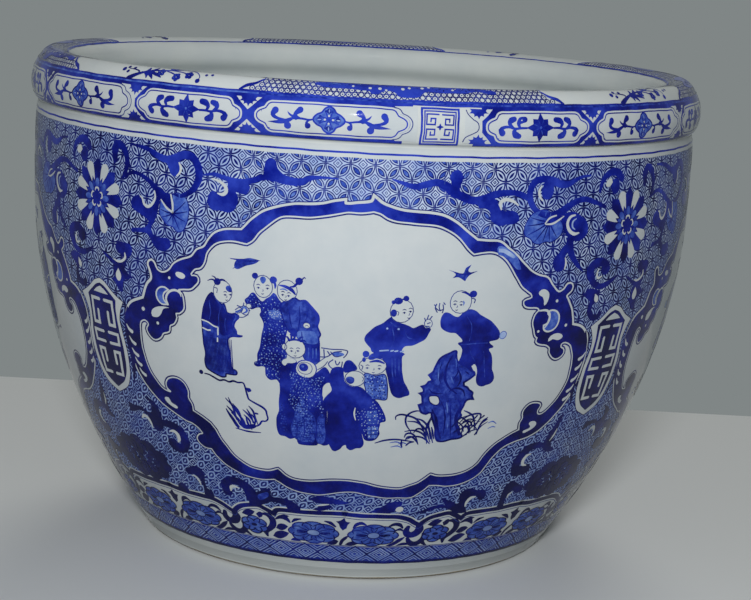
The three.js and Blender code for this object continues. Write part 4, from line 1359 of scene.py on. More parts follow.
def paint_rim():
    pen = Pen(**RIM)
    start, end = SEAL[1], 360 + SEAL[0]
    for ink, level, low, high, left, right in (
        ("deep", 3, 4, 6.4, start - 0.9, end - 1.6), ("deep", 3, 6.4, 24.4, start + 0.2, end - 0.2),
        ("deep", 3, 24.4, 25.6, start + 0.2, end - 0.2), ("deep", 4, 25.3, 26.3, 0, 360),
        ("royal", 3, 25.6, 27.6, 0, 360), ("deep", 4, 27.2, 28.1, 0, 360), ("mid", 4, 26.3, 27.2, -155, -16),
    ):
        pen.band(ink, level, low, high, left, right)
    at = start
    for k, length in enumerate(LENGTHS):
        middle, at = at + length / 2, at + length
        if k % 2 == 0:
            paint_cartouche(pen, middle, length, True)
            paint_corners(pen, at, "-2,24.5! 2,24.5! 1,21 0,17.8! -1,21")
        elif k < len(LENGTHS) - 1:
            paint_cartouche(pen, middle, length, False)
            paint_free_tip(pen, at - 0.75)
            paint_corners(pen, at + 0.1, "-1,24.5! 2.1,24.5! 1.1,21 0.35,17.8! -1,17.8!")
        else:
            paint_cartouche(pen, middle + 0.25, length - 0.2, False)
            paint_free_tip(pen, at - 0.6)
    paint_corners(pen, start, "-2.4,24.5! 1.9,24.5! 1,21 0.1,17.8 -0.2,15.4! -2.4,15.4!", start - 0.3)
    pen.stroke("fine", 5, moved("-2.2,24 -1.9,21.6 -1.1,19! -0.5,17.6 -0.3,15.4 -0.5,13.2 -1.1,11.8! -2.2,9.6 -2.6,7",
        start), 0.5)
    paint_seal_square(pen)
    for left, right, masses in ((-19, 31, (4.5,)), (62.4, 129, (84, 108)), (163, 209, (186,)), (244.4, 307.4,
        (264, 288))):
        honeycomb(pen, left, right, masses)
    for middle in (-33.3, 49.7, 146, 227):
        prunus(Pen(shift=middle * DEGREE, **RIM))
    pen.band("royal", 3, 48.7, 49.7, 0, 360)


# ---------------------------------------------------------------- figures

# Boys at play in a garden, in the front panel's millimetres. Their faces are a few plain strokes.


def head(pen, level, x, v, rx, rv, eyes, mouth):
    """A round white head. Each eye is a brow, a lid and a pupil."""
    pen.ringed(level, x, v, rx, rv, 0.42)
    for ex, ev in eyes:
        pen.stroke("line", level + 0.5, f"{ex - 1},{ev - 1.5} {ex},{ev - 2} {ex + 1.1},{ev - 1.5}", [0.25, 0.5, 0.25])
        pen.stroke("line", level + 0.5, f"{ex - 0.9},{ev} {ex},{ev - 0.45} {ex + 0.9},{ev}", [0.2, 0.4, 0.2])
        pen.dot("line", level + 0.5, ex, ev + 0.05, 0.42)
    mx, mv = mouth
    pen.stroke("line", level + 0.5, f"{mx - 0.7},{mv} {mx},{mv + 0.35} {mx + 0.8},{mv - 0.1}", [0.25, 0.5, 0.25])
    pen.stroke("fine", level + 0.5, f"{mx + 0.1},{mv - 2.4} {mx + 0.4},{mv - 1.5} {mx - 0.3},{mv - 1.3}", 0.3)


def flecks(pen, ink, level, loop, pitch, size, seed):
    """Small uneven marks scattered over a robe, on a loosened grid."""
    random = np.random.default_rng(seed)
    low, high = loop.min(0), loop.max(0)
    xs, vs = np.meshgrid(np.arange(low[0], high[0], pitch), np.arange(low[1], high[1], pitch))
    xs = xs + (np.arange(len(vs)) % 2)[:, None] * pitch / 2
    places = np.stack([xs.ravel(), vs.ravel()], 1) + random.uniform(-0.32, 0.32, (xs.size, 2)) * pitch
    places = places[inside(places, [loop]) & (nearest(places, loop) > size + 0.35)]
    for k in range(4):
        a = np.arange(5) / 5 * math.tau + random.uniform(0, 6)
        edge = np.stack([np.cos(a), np.sin(a)], 1) * (size * random.uniform(0.6, 1.25, (5, 1)))
        copies(ink + pen.zone, level, *solid(edge), places[k::4])


def single_boy(pen):
    head(pen, 5, -72.2, 78.4, 5.5, 6.1, ((-70.6, 80), (-67.6, 79.6)), (-69.8, 82.5))
    pen.dot("deep", 5.5, -75.3, 73.2, 2)
    pen.stroke("deep", 5.5, "-75.8,73.4 -78.4,72.2 -81,73.2", [1.2, 0.8, 0.3])
    pen.stroke("deep", 5.5, "-75.6,72.6 -77,70.8 -78.6,70.3", [1, 0.7, 0.3])
    pen.stroke("deep", 5.5, "-74.6,72.4 -72,71.8 -69.6,73", [1.2, 0.7, 0.3])
    pen.fill("royal", 5.5, "-70.4,75.6 -68.4,74.6 -67.2,76.2 -67,78 -68.6,78 -70,77.2")
    pen.stroke("fine", 5.5, "-77.2,76.6 -75.4,77 -75.6,79.4", 0.45)
    robe = pen.fill("royal", 3, "-78.1,80 -73.7,84.5 -72.8,85.5 -71.4,85.1 -70.4,87.8 -69.8,89.6 -66.9,90 -65.2,89.5 "
        "-63.1,91.2 -65.3,94 -66.2,97.1 -64.7,99.6 -64.3,101.5 -61.5,102 -67.5,103 -69.8,104.6 -69.8,107.3 "
        "-69.2,112.3 -68.9,118 -68.3,121.8 -66.6,122.4 -65.7,123.5 -66.2,125 -70,125.3 -72.6,125.5 -72.8,127 "
        "-75,127.8 -78.5,126.8 -82.3,125 -84.4,123.5 -85.2,119.5 -84.5,115.5 -85,110 -85.2,100 -85,95 -84.3,90 "
        "-83,86 -81,82 -79,79.8")[0]
    pen.edge("deep", 4, robe, 0.9)
    for x in np.arange(-84.2, -68, 0.85):
        pen.stroke("deep", 3.5, f"{x:.2f},105 {x + 0.3:.2f},112 {x + 0.1:.2f},119 {x + 0.4:.2f},124.6",
            [0.35, 0.5, 0.55, 0.35])
    pen.fill("deep", 3.5, "-83,86 -79.4,80.4 -76,83.6 -74,87 -75,92 -76.4,98.4 -80.4,97 -84.6,95.4 -84,90")
    pen.fill("deep", 3.5, "-72.6,86.4 -69.8,90.4 -65.4,90.6 -67,95 -66.4,99.4 -69,102 -73.6,103 -74.8,98")
    pen.strokes("royal", 4, [0.3, 0.7, 0.3], "-80.4,84 -79.6,90 -80.6,95", "-70.8,93 -71.4,97 -71,101")
    pen.strokes("white", 4.5, 0.8, "-85,95.6 -81.5,96.6 -78.2,98.4 -75.7,98.8", "-85,100.2 -82,101.2 -80.3,101",
        "-75.7,98.8 -75.8,103", "-76.3,105 -76.4,107")
    pen.stroke("fine", 4, "-64,85 -61,85.3 -60,83", 0.6)
    pen.stroke("mid", 4, "-64.6,88.6 -61.6,87.2 -60,85.6 -58.4,87.4 -60.6,89", [1, 1.2, 1, 1.2, 0.6])
    pen.strokes("fine", 4.5, 0.5, "-65,87.6 -62.8,86 -61,86.6 -61.8,88.4 -64,89.2",
        "-63.4,91.4 -60,91 -57.5,88.5 -57.2,86", "-60.4,84.6 -58,85.6 -56.6,87.4", "-61.6,88.6 -59.6,89.8 -57.6,89.6")


def boy_in_dots(pen):
    head(pen, 3, -49.3, 73, 5, 6, ((-51.8, 73.9), (-47, 73.9)), (-49.6, 76.8))
    pen.dots("deep", 3.5, (-53.8, 67.6, 1.7), (-43.8, 69, 2))
    pen.stroke("deep", 3.5, "-43.2,70 -42.7,71.8 -43,73.6", [1.2, 1.4, 0.6])
    pen.fill("mid", 3.5, "-51,68.6 -49.4,67.6 -47.8,68.6 -48.4,70.6 -49.4,71.4 -50.4,70.6")
    robe = pen.fill("deep", 2.5, "-54.9,76.7 -57.7,79.7 -59.6,81.6 -58.5,84 -56,86.4 -52.9,85.2 -51,85 -50.5,87 "
        "-51.3,88.8 -50,91 -49,93.5 -49.5,97 -50.5,102 -51.5,107 -53,111 -53.3,115.5 -54.8,116 -55.2,117.8 "
        "-53.5,118.8 -49,118.3 -48.6,121 -48.4,123.5 -46,125.8 -42,125.2 -41,126.5 -39.5,127.5 -39,125 -36,111 "
        "-37,103 -36,95 -37,90 -38.7,81.5 -40.3,79.5 -43.5,76 -45.5,78 -47.8,79.5 -50,81.2 -52,79.5")[0]
    flecks(pen, "mid", 3, robe, 1.7, 0.4, 3)
    flecks(pen, "pale", 3.5, robe, 2.9, 0.36, 33)
    pen.fill("mid", 3.5, "-46.4,86.4 -42,85.4 -38.2,87 -39.4,90 -43.6,90.4")
    flecks(pen, "white", 4, pen.line("-46.4,86.4 -42,85.4 -38.2,87 -39.4,90 -43.6,90.4", True)[0], 1.2, 0.3, 4)
    pen.strokes("deep", 3.5, [0.5, 1, 0.5], "-46.6,92 -47.4,104 -48.8,116", "-42.6,93 -43,106 -44.4,122",
        "-39.6,92 -39.4,106 -40.6,120", "-50.6,85 -47.6,83.2 -44.4,80.4")
    pen.ringed(3.5, -57.3, 84.6, 1.5, 1.3, 0.35)


def boy_in_coat(pen):
    head(pen, 4, -36.3, 74.3, 5.4, 5.9, ((-38.6, 76.6), (-35.3, 77)), (-37, 79))
    pen.dot("deep", 4.5, -30, 68.3, 2.1)
    pen.stroke("deep", 4.5, "-31,69.6 -33,71.5 -35,71.8", [1.4, 1.2, 0.5])
    pen.stroke("deep", 4.5, "-28.6,67.4 -27.4,66 -26.8,66.8", [0.8, 0.6, 0.3])
    pen.stroke("deep", 4.5, "-40.6,71.6 -37.4,72 -34,73.4 -31.8,75.8", [0.6, 1.6, 2, 0.8])
    pen.stroke("mid", 4.5, "-40.2,73.8 -38,73.4 -36,74.2", [0.4, 0.8, 0.3])
    coat = (
        "-39.3,81.2 -35,79.6 -32,77.8 -29.5,79 -27.5,79 -26.3,78.6 -24,80.8 -21.5,83.5 -19.5,86 -18.9,89.3 "
        "-19.5,92.5 -18.5,95 -17.7,97 -18.7,99 -18.3,102.5 -18.2,112 -20.5,113.8 -26,112 -31,99 -36,96"
    )
    pen.fill("royal", 3.5, coat)
    pen.stroke("deep", 4, "-36,95.6 -38.6,88 -39.2,81.4 -35,79.6 -32,77.8 -29.5,79 -26.3,78.6 -24,80.8 -21.5,83.5 "
        "-19.5,86 -18.9,89.3 -19.5,92.5 -18.5,95 -17.7,97 -18.7,99 -18.3,102.5 -18.2,112", 0.9)
    pen.stroke("deep", 4, "-26,80 -21.6,84.4 -20,88.5 -20.8,92.5", [0.8, 1.2, 1.4, 0.8])
    pen.fill("deep", 4, "-34.4,95 -31,95.2 -30.8,98.4 -33.6,98.8")
    pen.fill("mid", 4, "-30.4,96.4 -26,95.2 -21,95.6 -19.8,98 -19.4,101.8 -24,102.4 -29,100.6")
    pen.strokes("deep", 4.5, [0.3, 0.7, 0.3], "-34.8,83 -34.4,89 -33.4,94", "-29.4,82 -29.2,89 -30,95",
        "-25,85 -25.6,89", "-28,95.8 -27.4,101.4")
    pen.fill("deep", 4, "-26,103.4! -18.5,103.2! -18.6,111.4 -20.6,113 -24.6,111.4")
    pen.stroke("deep", 4.5, "-26.4,102.6 -22,103.2 -18.4,102.6", 0.9)
    for x in (-24, -21.6, -19.8):
        pen.stroke("mid", 4.5, f"{x},104.8 {x - 0.2},110.6", [0.4, 0.8, 0.3])
    pen.ringed(4.5, -25.5, 92.3, 1.9, 1.5, 0.35)
    pen.stroke("fine", 5, "-26.6,92.8 -25.4,92.2 -24.4,92.8", 0.3)


def kneeling_boy(pen):
    pen.fill("deep", 4.5, "-38.5,114 -40.5,127 -40.7,133 -41.3,138 -41.5,144 -43,149 -43.3,155 -42,159.5 -38.5,160.3 "
        "-35.5,161.8 -31.3,161 -30.8,163.5 -24.5,165 -17.5,163.5 -14.5,164.3 -11.5,162.5 -12.6,158 -13,150 -13.3,142 "
        "-15.5,134 -11,124.5 -14.5,115.3 -19,118.3 -21.5,120.5 -33,117")
    upper = pen.line("-36,120 -31,119 -22,122 -15,119.6 -15.6,127 -16.6,134 -14.6,141 -15.4,145 -21,141 -27,147 "
        "-32,144 -36,136 -34.6,127", True)[0]
    flecks(pen, "mid", 5, upper, 1.6, 0.42, 5)
    flecks(pen, "pale", 5.5, upper, 2.5, 0.36, 55)
    pen.fill("deep", 4.5, "-38.4,114.8 -36,112.4 -33.4,111.6 -30.8,112.8 -30.6,117 -33,119.4 -37,118.4")
    pen.fill("white", 5, "-38.8,114.4 -36.4,112.2 -33.2,111.8 -30.8,113.2 -33,114.6 -35.6,114.8 -37.2,116.4")
    skirt = pen.fill("royal", 5, "-32.4,147 -30.4,139 -27.4,133.6! -25.4,139 -23,143 -20.4,146 -19.4,152 -19.8,158 "
        "-21.2,163 -26,163.4 -31,162 -33.4,159.6 -34.6,154")[0]
    flecks(pen, "mid", 5.5, skirt, 1.5, 0.6, 8)
    flecks(pen, "deep", 6, skirt, 3.2, 0.6, 9)
    front = pen.fill("royal", 5, "-18.6,147 -15.4,144 -14.2,150 -13.8,158 -15,162.6 -18.4,162.8 -18.8,155")[0]
    flecks(pen, "mid", 5.5, front, 1.4, 0.5, 12)
    left = pen.line("-40,136 -37.6,142 -36,151 -36.4,157 -41,157 -41.8,149", True)[0]
    flecks(pen, "royal", 5, left, 1.7, 0.5, 10)
    pen.strokes("deep", 6.5, [0.3, 0.8, 0.3], "-26.8,146 -26.4,156 -27.6,162.4", "-30.6,150 -31,157")
    pen.strokes("deep", 5.5, [0.5, 1.3, 0.5], "-29,123 -30.4,132 -28,141", "-20,124 -21.4,133 -19.6,140",
        "-34.6,122 -37,132 -36.6,141")
    pen.dot("deep", 5.5, -24.5, 164, 5.4, 1.2)
    head(pen, 5.5, -31.5, 105.8, 5.6, 5.6, ((-33.4, 107.6), (-29.8, 107.2)), (-31.4, 110))
    pen.ringed(5.5, -37.5, 105.4, 1.4, 1.7, 0.4)
    pen.strokes("deep", 6, [1.4, 0.9, 0.3], "-34.8,101.4 -36,99.6 -37.6,99.8", "-33.6,100.8 -33.8,98.8 -34.6,97.8",
        "-29.6,100.6 -28.4,99 -26.8,98.8", "-28.4,101.2 -26.4,100.8 -25.2,101.8", "-32.4,100.6 -31.4,98.4 -30.2,97.8")
    pen.stroke("deep", 6, "-34.6,101.6 -31.6,100.6 -28.6,101.4", [0.5, 1.1, 0.5])
    pen.ringed(5, -25.4, 117.3, 5.6, 5.4, 0.6, edge="deep")
    pen.ring("fine", 5.5, -26, 116.8, 3.9, 3.7, 0.35)
    pen.dot("deep", 5.5, -26.8, 116.3, 2.5)
    pen.dot("mid", 6, -27.4, 115.7, 0.8)
    pen.stroke("white", 5, "-20,115.4 -17,113 -14,110.5", [2.2, 2.6, 1.6])
    pen.stroke("fine", 5.5, "-20.4,114.2 -17.4,111.6 -14.6,109.4", 0.45)
    pen.stroke("fine", 5.5, "-19,117 -16,114.8 -13.4,111.8", 0.45)
    pen.fill("white", 5.5, "-15.9,130 -15.3,126.5 -11.8,124.4 -10.9,128.3 -13,131 -14.8,134")
    pen.strokes("line", 4, 0.6, "-17.2,104.2 -12,104.8 -3.2,104.8 -3.4,107.2 -5,109.3",
        "-18.3,109.5 -14,109.2 -10.5,106.5 -6,105.5", "-10.5,110.5 -13,113.2 -10,116 -6.3,115.3 -5.5,111.5",
        "-15.8,105 -15.5,109.3", "-12.4,106.2 -9.6,108.8 -6.2,108", "-9.4,111 -8.2,113.6 -6.8,111.6",
        "-14,106 -12.6,108")
    pen.dot("mid", 3.5, -8, 107.3, 3.3, 1.2)


def boy_from_behind(pen):
    pen.fill("deep", 6, "-11,116 -5.2,115 -4.2,119 -3.5,123 0,125.8 5.2,125.8 9,129 12.5,133 10.3,138.5 3.3,140 "
        "4,146.5 6.5,152 8.5,157 9.5,161.5 8,164.5 5,165 2,166.3 -0.8,164.8 -1.5,163 -3.5,164 -4.8,165.8 -8.5,167.5 "
        "-11,164.5 -12.3,161 -13,155 -13,148 -13.2,142 -15,140 -15.3,135 -13,131.5 -10.8,128.5 -11.8,124")
    pen.ringed(6.5, 1.8, 121, 5.2, 4.7, 0.42)
    pen.fill("deep", 7, "-4.9,114 -3.5,111 -1.3,110.3 1,111.8 2.9,115.2 0,116.4 -3.5,117.8 -4.6,116.5")
    pen.fill("royal", 7, "-3,120.8 -1,119.8 1.2,120.8 1.4,123.2 -0.6,124.4 -2.6,123")
    pen.stroke("fine", 7, "5.6,119.6 6.6,120.8 5.8,122.4", 0.4)


def patterned_boy(pen):
    head(pen, 5, 11.2, 113, 7.2, 5, ((8.2, 114.4), (14.8, 114.5)), (11.6, 116.6))
    pen.dots("deep", 5.5, (7.2, 106.2, 1.9), (6.3, 109.4, 1, 1.4))
    pen.fill("deep", 5.5, "8.6,108.8 10,106 12.6,105.4 14.8,106.8 15.6,109 13,108.6 11,109.4")
    pen.stroke("deep", 5.5, "9.6,110.6 13.6,110 17.2,111.2", [0.8, 1.7, 0.8])
    pen.stroke("fine", 5.5, "4.6,112.6 5.8,113.4 5.4,115.4", 0.5)
    upper = pen.fill("mid", 4, "7,118 13,118.5 17.5,117.5 19,119 20.2,124 20.8,130 20,133 15,132.8 11,133 8,127")[0]
    flecks(pen, "deep", 4.5, upper, 1.8, 0.5, 11)
    flecks(pen, "pale", 5, upper, 2.6, 0.42, 21)
    lower = pen.fill("deep", 4, "11,133 14.5,134 18,139 21,146 17.8,147.5 17.8,149.2 17.5,152 18.2,155 15.5,158.7 "
        "10.5,159 8.2,155 6.5,153 4.2,147 3.3,140")[0]
    flecks(pen, "pale", 4.5, lower, 1.9, 0.38, 13)
    pen.fill("mid", 4.5, "9.8,140.4! 15.4,140! 16,148! 10.6,148.8!")
    pen.fill("mid", 4.5, "10.6,150.6! 17.2,150.2! 17.4,157.4! 11.8,158!")
    pen.strokes("deep", 5, 0.45, "11,142.4 15.6,142", "10.6,145 16,144.6", "11.2,152.8 17,152.4",
        "11.4,155.4 17.2,155", "12.8,140.6 13.4,157.4", "10.4,147.2 16,147")
    for x, v in ((11.9, 141.2), (14.4, 143.4), (11.8, 146.2), (14.6, 154), (12.4, 156.6), (15.6, 151.4)):
        pen.dot("white", 5, x, v, 0.4)
    for loop in (upper, lower):
        pen.edge("deep", 5, loop, 0.55)
    pen.stroke("white", 7, "3.2,138.6 2.7,142 3.6,146.4", [0.4, 0.9, 0.4])


def standing_boy(pen):
    head(pen, 3, 24.5, 81.5, 6.2, 6.3, ((26, 82.6), (29.2, 81.8)), (28.6, 85))
    pen.dots("deep", 3.5, (22.3, 76, 2.3, 1.9), (26.3, 74.5, 1.6), (19.8, 76.8, 1.1))
    pen.stroke("deep", 3.5, "22.6,76 24.6,75 26.3,74.6", [1.2, 0.9, 1.2])
    pen.fill("deep", 3.5, "18.6,82 19.8,80.6 21.6,81.2 21.9,83 21,84.6 19.4,84.4")
    pen.stroke("fine", 3.5, "22,81.6 23,82.4 22.4,84", 0.4)
    robe = pen.fill("deep", 2.5, "17.5,86 19,84.8 20.5,85 24,87.8 26.5,88.5 29.5,89.8 31.5,90.8 36.5,88.8 38,90.5 "
        "40.8,90.8 40.3,93.5 38.5,97 35.5,98.8 32,100.5 28,101 26.3,103 26.5,104.5 28,105.5 27,107 27.3,112 28,117 "
        "29.5,122 31.5,125.5 33.2,129.5 30.5,130.8 27,131.8 24,130.5 22,127 20,120 19,117 17.8,113 16,108.8 10,104.5 "
        "9.5,103 7.5,101 5.7,98.5 6,96 8.5,93 11,90.5 15,88.3")[0]
    pen.strokes("royal", 3, [0.2, 0.5, 0.2], "20,90 21.6,96 20.6,102", "27,92 29,96 33,97")
    for x0, x1 in ((14.5, 19), (20.4, 21.6), (22.6, 24), (25.6, 27)):
        pen.stroke("pale", 3, f"{x0},104.2 {x1},103.8", 0.8)
    pen.strokes("royal", 3, [0.3, 0.7, 0.3], "23,107.6 23.4,113 24.4,119", "25.2,107 25.6,113 26.4,118.4",
        "21.2,108 22,115 23.6,122")
    pen.dots("pale", 3, (17.5, 91.3, 0.6), (23.7, 91.3, 0.6))
    pen.stroke("royal", 3, "19,87.6 21.6,89.6 24.6,90", [0.4, 0.8, 0.4])
    pen.ringed(3, 39.3, 88, 2.1, 2.4, 0.4)
    pen.strokes("fine", 3.5, 0.6, "38.4,86 39.2,83.2", "39.8,85.8 41.2,83.8", "37.8,87 37,85", "38.6,88.2 40.4,87.4",
        "38,89.6 40,89.6")


def reaching_boy(pen):
    head(pen, 3, 56.1, 76.1, 5.9, 6.3, ((52.8, 77.4), (56.2, 77.8)), (54, 80.4))
    pen.dot("deep", 3.5, 62.5, 71.6, 2.1, 2)
    pen.stroke("deep", 3.5, "61,72.4 58.6,71 56,70.6", [1.4, 1.1, 0.4])
    pen.stroke("fine", 3.5, "61.6,74 63.8,74.6 63.6,76.6", 0.6)
    pen.stroke("mid", 3.5, "57.2,75.4 57.8,76.6 57.4,78", [0.4, 0.9, 0.4])
    pen.dot("white", 3, 44.9, 79.6, 2.7)
    pen.strokes("fine", 3.5, 0.6, "43,77 42.4,79.4 43.6,81.8", "44.6,76.6 44.4,79 45.2,81",
        "46.4,77.4 46.8,79.6 46.2,82", "42.2,79 44.4,80.6 47,80", "41.6,77.4 42.6,78.4", "46.6,76.4 47.8,77.6")
    pen.fill("deep", 2.5, "46,84.5 47.5,81.8 50,82 53.5,84 55.8,84.2 58.5,81.3 62,80 65.5,81 68,83 71,84.6 74.5,86.5 "
        "77,88.8 79.5,91.3 81,93.5 81,97 77,98.3 75.5,98.8 76.5,100 78.5,102 76.2,103 78,106 79.3,110.5 79.8,115 "
        "81.5,118 82.3,121 81,123.5 78,124.5 75.5,125.3 72.5,124 71,121 70.8,115.5 69,111.5 67.5,113 69,116 64,115 "
        "61,112 59,109.7 59.7,107 60,103 59,101 57.2,99 59.5,98 57,95 55,93.3 52,93 48,91.5 46.2,89.5")
    pen.strokes("royal", 3, [0.2, 0.5, 0.2], "60.6,84 64,90 63.4,98", "73,104 74.6,112 76.4,120",
        "64,101 66,106 69,110")
    pen.stroke("royal", 3, "59,99.8 67,99.6 74.6,99.4", [0.3, 0.6, 0.3])
    pen.stroke("white", 3, "67.6,112.6 69.2,115.6", 0.8)
    pen.ringed(3, 83.2, 95, 2, 2.2, 0.4, "pale", "mid")


def rock(pen):
    body = (
        "56.5,103.5 53,105 49.5,107 47.5,109 46,113 45.2,115.5 42.8,117.5! 44.5,119.5 45,121 43.3,121.5 "
        "42,123.5 39.5,124.5! 40.8,126 41,128 38.8,128.8! 40.3,130 41.2,133 41.5,135 39.5,136! "
        "40.5,138.5 41.5,140.5 44.5,141.8 46,141 47.8,141! 48.3,144 50,147.5 51.5,151 52.3,155 53.5,158 "
        "55,159.5 58.5,159.8 63,158.5 68,157.8 69.5,156.5 67.5,154 66.5,151 65,148.5 65,145 66.3,143 "
        "65.3,141 66.5,137 67.5,134 69.5,133 71.8,133! 70.5,131 70.5,129 68,127 66.5,125.3 64.5,124.5 "
        "64,122.5! 67,120.5 69.8,118! 69.3,116.5 67,115 64,112.5 60,111 58,109.5 57,106"
    )
    hole = "44.8,130.8 46,130.2 49.5,130.3 51,132 51.5,134.5 50.3,136 48.5,136 46,134.3 45,132.5"
    pen.fill("royal", 3.5, body, hole)
    pen.stroke("deep", 4, body, 1.2, closed=True)
    pen.stroke("deep", 4, hole, 0.7, closed=True)
    for vein, width in (
        ("55,106 52.6,112 52.4,119 55.6,125 61,129.4", 1.6), ("56,128 59,126 64,127 66,131", 1.3),
        ("57,132 59,140 61,150 62,156", 1), ("60,115 62,120 60.6,125", 1.4), ("44,126 47,128.4 53,129", 1.1),
        ("64,115.6 66.6,117.6", 1), ("52,133 55,139 57,148 57.4,156", 1),
        ("62.4,133 64.6,137 63.4,144 65,151 67.4,155.6", 2), ("47.6,139 50.6,144 53.4,152 56,157.6", 1.8),
        ("49.4,111 48.4,117 50.6,123", 1), ("58,111 59.6,116 57,121", 1),
    ):
        pen.stroke("deep", 4, vein, [width * 0.4, width, width * 0.4])
    pen.strokes("mid", 4.5, [0.3, 0.8, 0.3], "48.6,110 48.2,116 49,122", "57,108 58.4,113", "56,119 58,123",
        "55.6,134 57.6,141", "62.4,129.6 64.4,131", "43.6,136.6 45,139", "58.6,146 59.4,153")


def garden(pen):
    pen.strokes("line", 5, [0.5, 1.1, 1.2, 1, 0.5], "67.5,139.8 71,141.5 74,144 76,149 77,153",
        "66,148 69,144.5 73,142.8 78,142.5 79,144 77.5,149", "84,145 81.5,147 79.5,151 79,156",
        "66,150 70,147 73,147.5 75,151", "67,152.5 71,150 74,155", "27,145.5 27,143.2 29.5,142 33,142.3 38,144 "
        "42,148 44.5,152 46,156", "37,153.5 33.5,148 33,144 35,141 38.5,139.6 41,139.8",
        "38.5,153.7 40,151.3 42.5,151 45,153 47,158", "33.5,157 34.3,154.5 37,154 40,156 42.5,161",
        "34.3,158.5 35.5,156.5 38,156.3 41,159 42.8,161.5", "16,160.8 21,159 27,158.3 34,158.8 40,159.6",
        "50,160 46,152 40,147 34,146", "50,158 47,150 43,146 38,144", "49,160 44,154 38,152 33,153",
        "50,161 45,157 39,156 35,158", "48,161 46,150 48,143", "32,158.5 32,161.5 33,163.5",
        "35,162.5 37,160.3 40,159.7", "48,145 47,148.5 48,152 50,156 51.8,160.5", "49,150 50.5,154 52,158")
    pen.strokes("line", 5, [1, 0.9, 0.4], "66,143.6 70,146.4 73,150.6 74.6,154.6", "64.6,146.8 68,149.4 70,153.6",
        "76.6,143.6 74,147.6 72.8,152", "81,143.8 78,147 76,152.6", "83.6,146.4 80.4,149.4 78.6,155",
        "70.6,150.6 74,149.6 77.4,151.6 79.4,154.6", "68.6,147 72.4,145.6 77,147", "64,153.6 67,151.6 70,152.6",
        "62,150 66,145 71,143", "68.6,155 70,149.6 73.6,146", "72,155.6 75,150 79.6,147",
        "70,156.6 74.6,153.4 80,152.6", "78,156 80.6,151 84.6,148")
    pen.strokes("deep", 3, [0.5, 1.2, 1.3, 1, 0.5], "-74.5,140.7 -70.5,144.5 -67.5,149 -65,153.5 -63,158",
        "-71.5,149.3 -67.5,153 -64.5,157.5", "-64,146.5 -61,149 -58.5,152.5 -56.5,156.5",
        "-60,143.5 -57.5,146.5 -56.3,151 -55,155", "-54.2,148 -57,147.5", "-62.5,151 -61.5,155 -59,159",
        "-72.6,140 -70,146 -68.6,152 -66.6,157", "-70,143.4 -66.6,148.4 -65.4,154 -65,157.6",
        "-74,145.4 -70.6,149 -68.4,154", "-72.8,150.4 -70,154.6 -67,158.4", "-66,150.6 -63.8,154.6 -63,158.6",
        "-61.4,145.6 -59,150 -58.2,154.6", "-63.6,149.6 -60.6,152.6 -59.4,156.6", "-58.6,148.4 -56.6,152 -57.4,156.4")
    pen.stroke("deep", 3, "-74.5,147.5 -72,152 -69,157 -68,159", [0.8, 2, 2, 0.8])
    pen.strokes("mid", 3, [0.4, 0.8, 0.4], "85,149 88,148 91,149.6", "86,152.6 89,151.4 91,152",
        "25,160.6 29,160 33,161.4", "26,163.4 30,162.6 33,164", "30,161.4 33,160.4 36,161.6")
    pen.dot("deep", 3, -88.5, 126.8, 1.3)
    pen.stroke("deep", 3, "-86.5,127.3 -83.5,127.6 -80.5,128.9 -77,130.2 -74,129.4 -71,130.1 -68.5,129.2 -65.5,129.8 "
        "-62.3,129.6 -61.3,131.5 -60.2,136.5 -59.7,139 -58,140.2 -55,141.5 -51.5,143.2 -49.5,145.2 -49,147.5 "
        "-48.5,150 -49.8,151.8 -52.3,152.3 -53.5,154.2 -55.5,155.8 -60,157",
        [0.7, 1.2, 1.1, 1.3, 0.9, 1.2, 1, 1.4, 1.1, 0.9, 1.2, 0.8])
    pen.fill("deep", 3, "-61,132! -58.2,132.3! -57.3,134 -59.5,135!")
    pen.fill("deep", 3, "-66.6,154.6 -62,156 -57.6,155 -56,156.4 -60,158.6 -65,158.4")
    pen.stroke("deep", 3, "-70,159 -62,160.3 -53.5,160", [0.6, 1.2, 0.5])


def birds(pen):
    pen.fill("royal", 3, "-19.8,59.6! -17.5,59.3 -16.3,58.5 -14.6,59.3! "
        "-15.6,60.5 -16.8,61.3 -18,63 -19.1,65.6! -18.3,62 -18.1,60.2")
    pen.fill("royal", 3, "13.6,58.6! 15,59.8 16,60.3 16.4,57.5 17.2,55.8! "
        "16.9,59.5 18.3,59.3! 17,61.7 16.4,64.7! 15.3,62.5 14.4,63! 14.8,60.8")
    pen.fill("royal", 3, "-18.4,60.2 -16.4,59.2 -14.9,59.2 -15.4,61 -16.8,62.6 -18.6,65")
    pen.stroke("deep", 4, "-19.4,59.7 -17,60.2 -15,59.6", [0.4, 1, 0.4])
    pen.stroke("deep", 4, "-17.4,60.8 -18.4,63", [0.9, 0.4])
    pen.stroke("deep", 4, "14.6,60 16.4,60.9 17.8,59.8", [0.4, 1, 0.4])
    pen.stroke("deep", 4, "16.3,61.4 16.3,63.6", [0.9, 0.4])


FIGURES = (
    single_boy, boy_in_dots, boy_in_coat, kneeling_boy, patterned_boy, boy_from_behind, standing_boy, reaching_boy,
    rock, garden,
)


def paint_scene():
    """The front panel's scene as it is, and the same boys turned round for the panels that can't be seen."""
    for k, (middle, share) in enumerate(PANELS):
        flip = 1 if k % 2 == 0 else -1
        birds(panel_pen(middle, share, DEGREE, flip, step=0.9, zone="_scene"))
        small = panel_pen(middle, share, 1.0, flip, step=0.9, grid=(4, 4), zone="_scene")
        for paint in FIGURES:
            paint(small)


# ---------------------------------------------------------------- everything on the bowl


# Where the grounds end, and the strip at the foot between its two lines.
UPPER_END, LOWER_END, STRIP = 128, 219, (239.2, 252.8)
STRIP_CELLS = 63


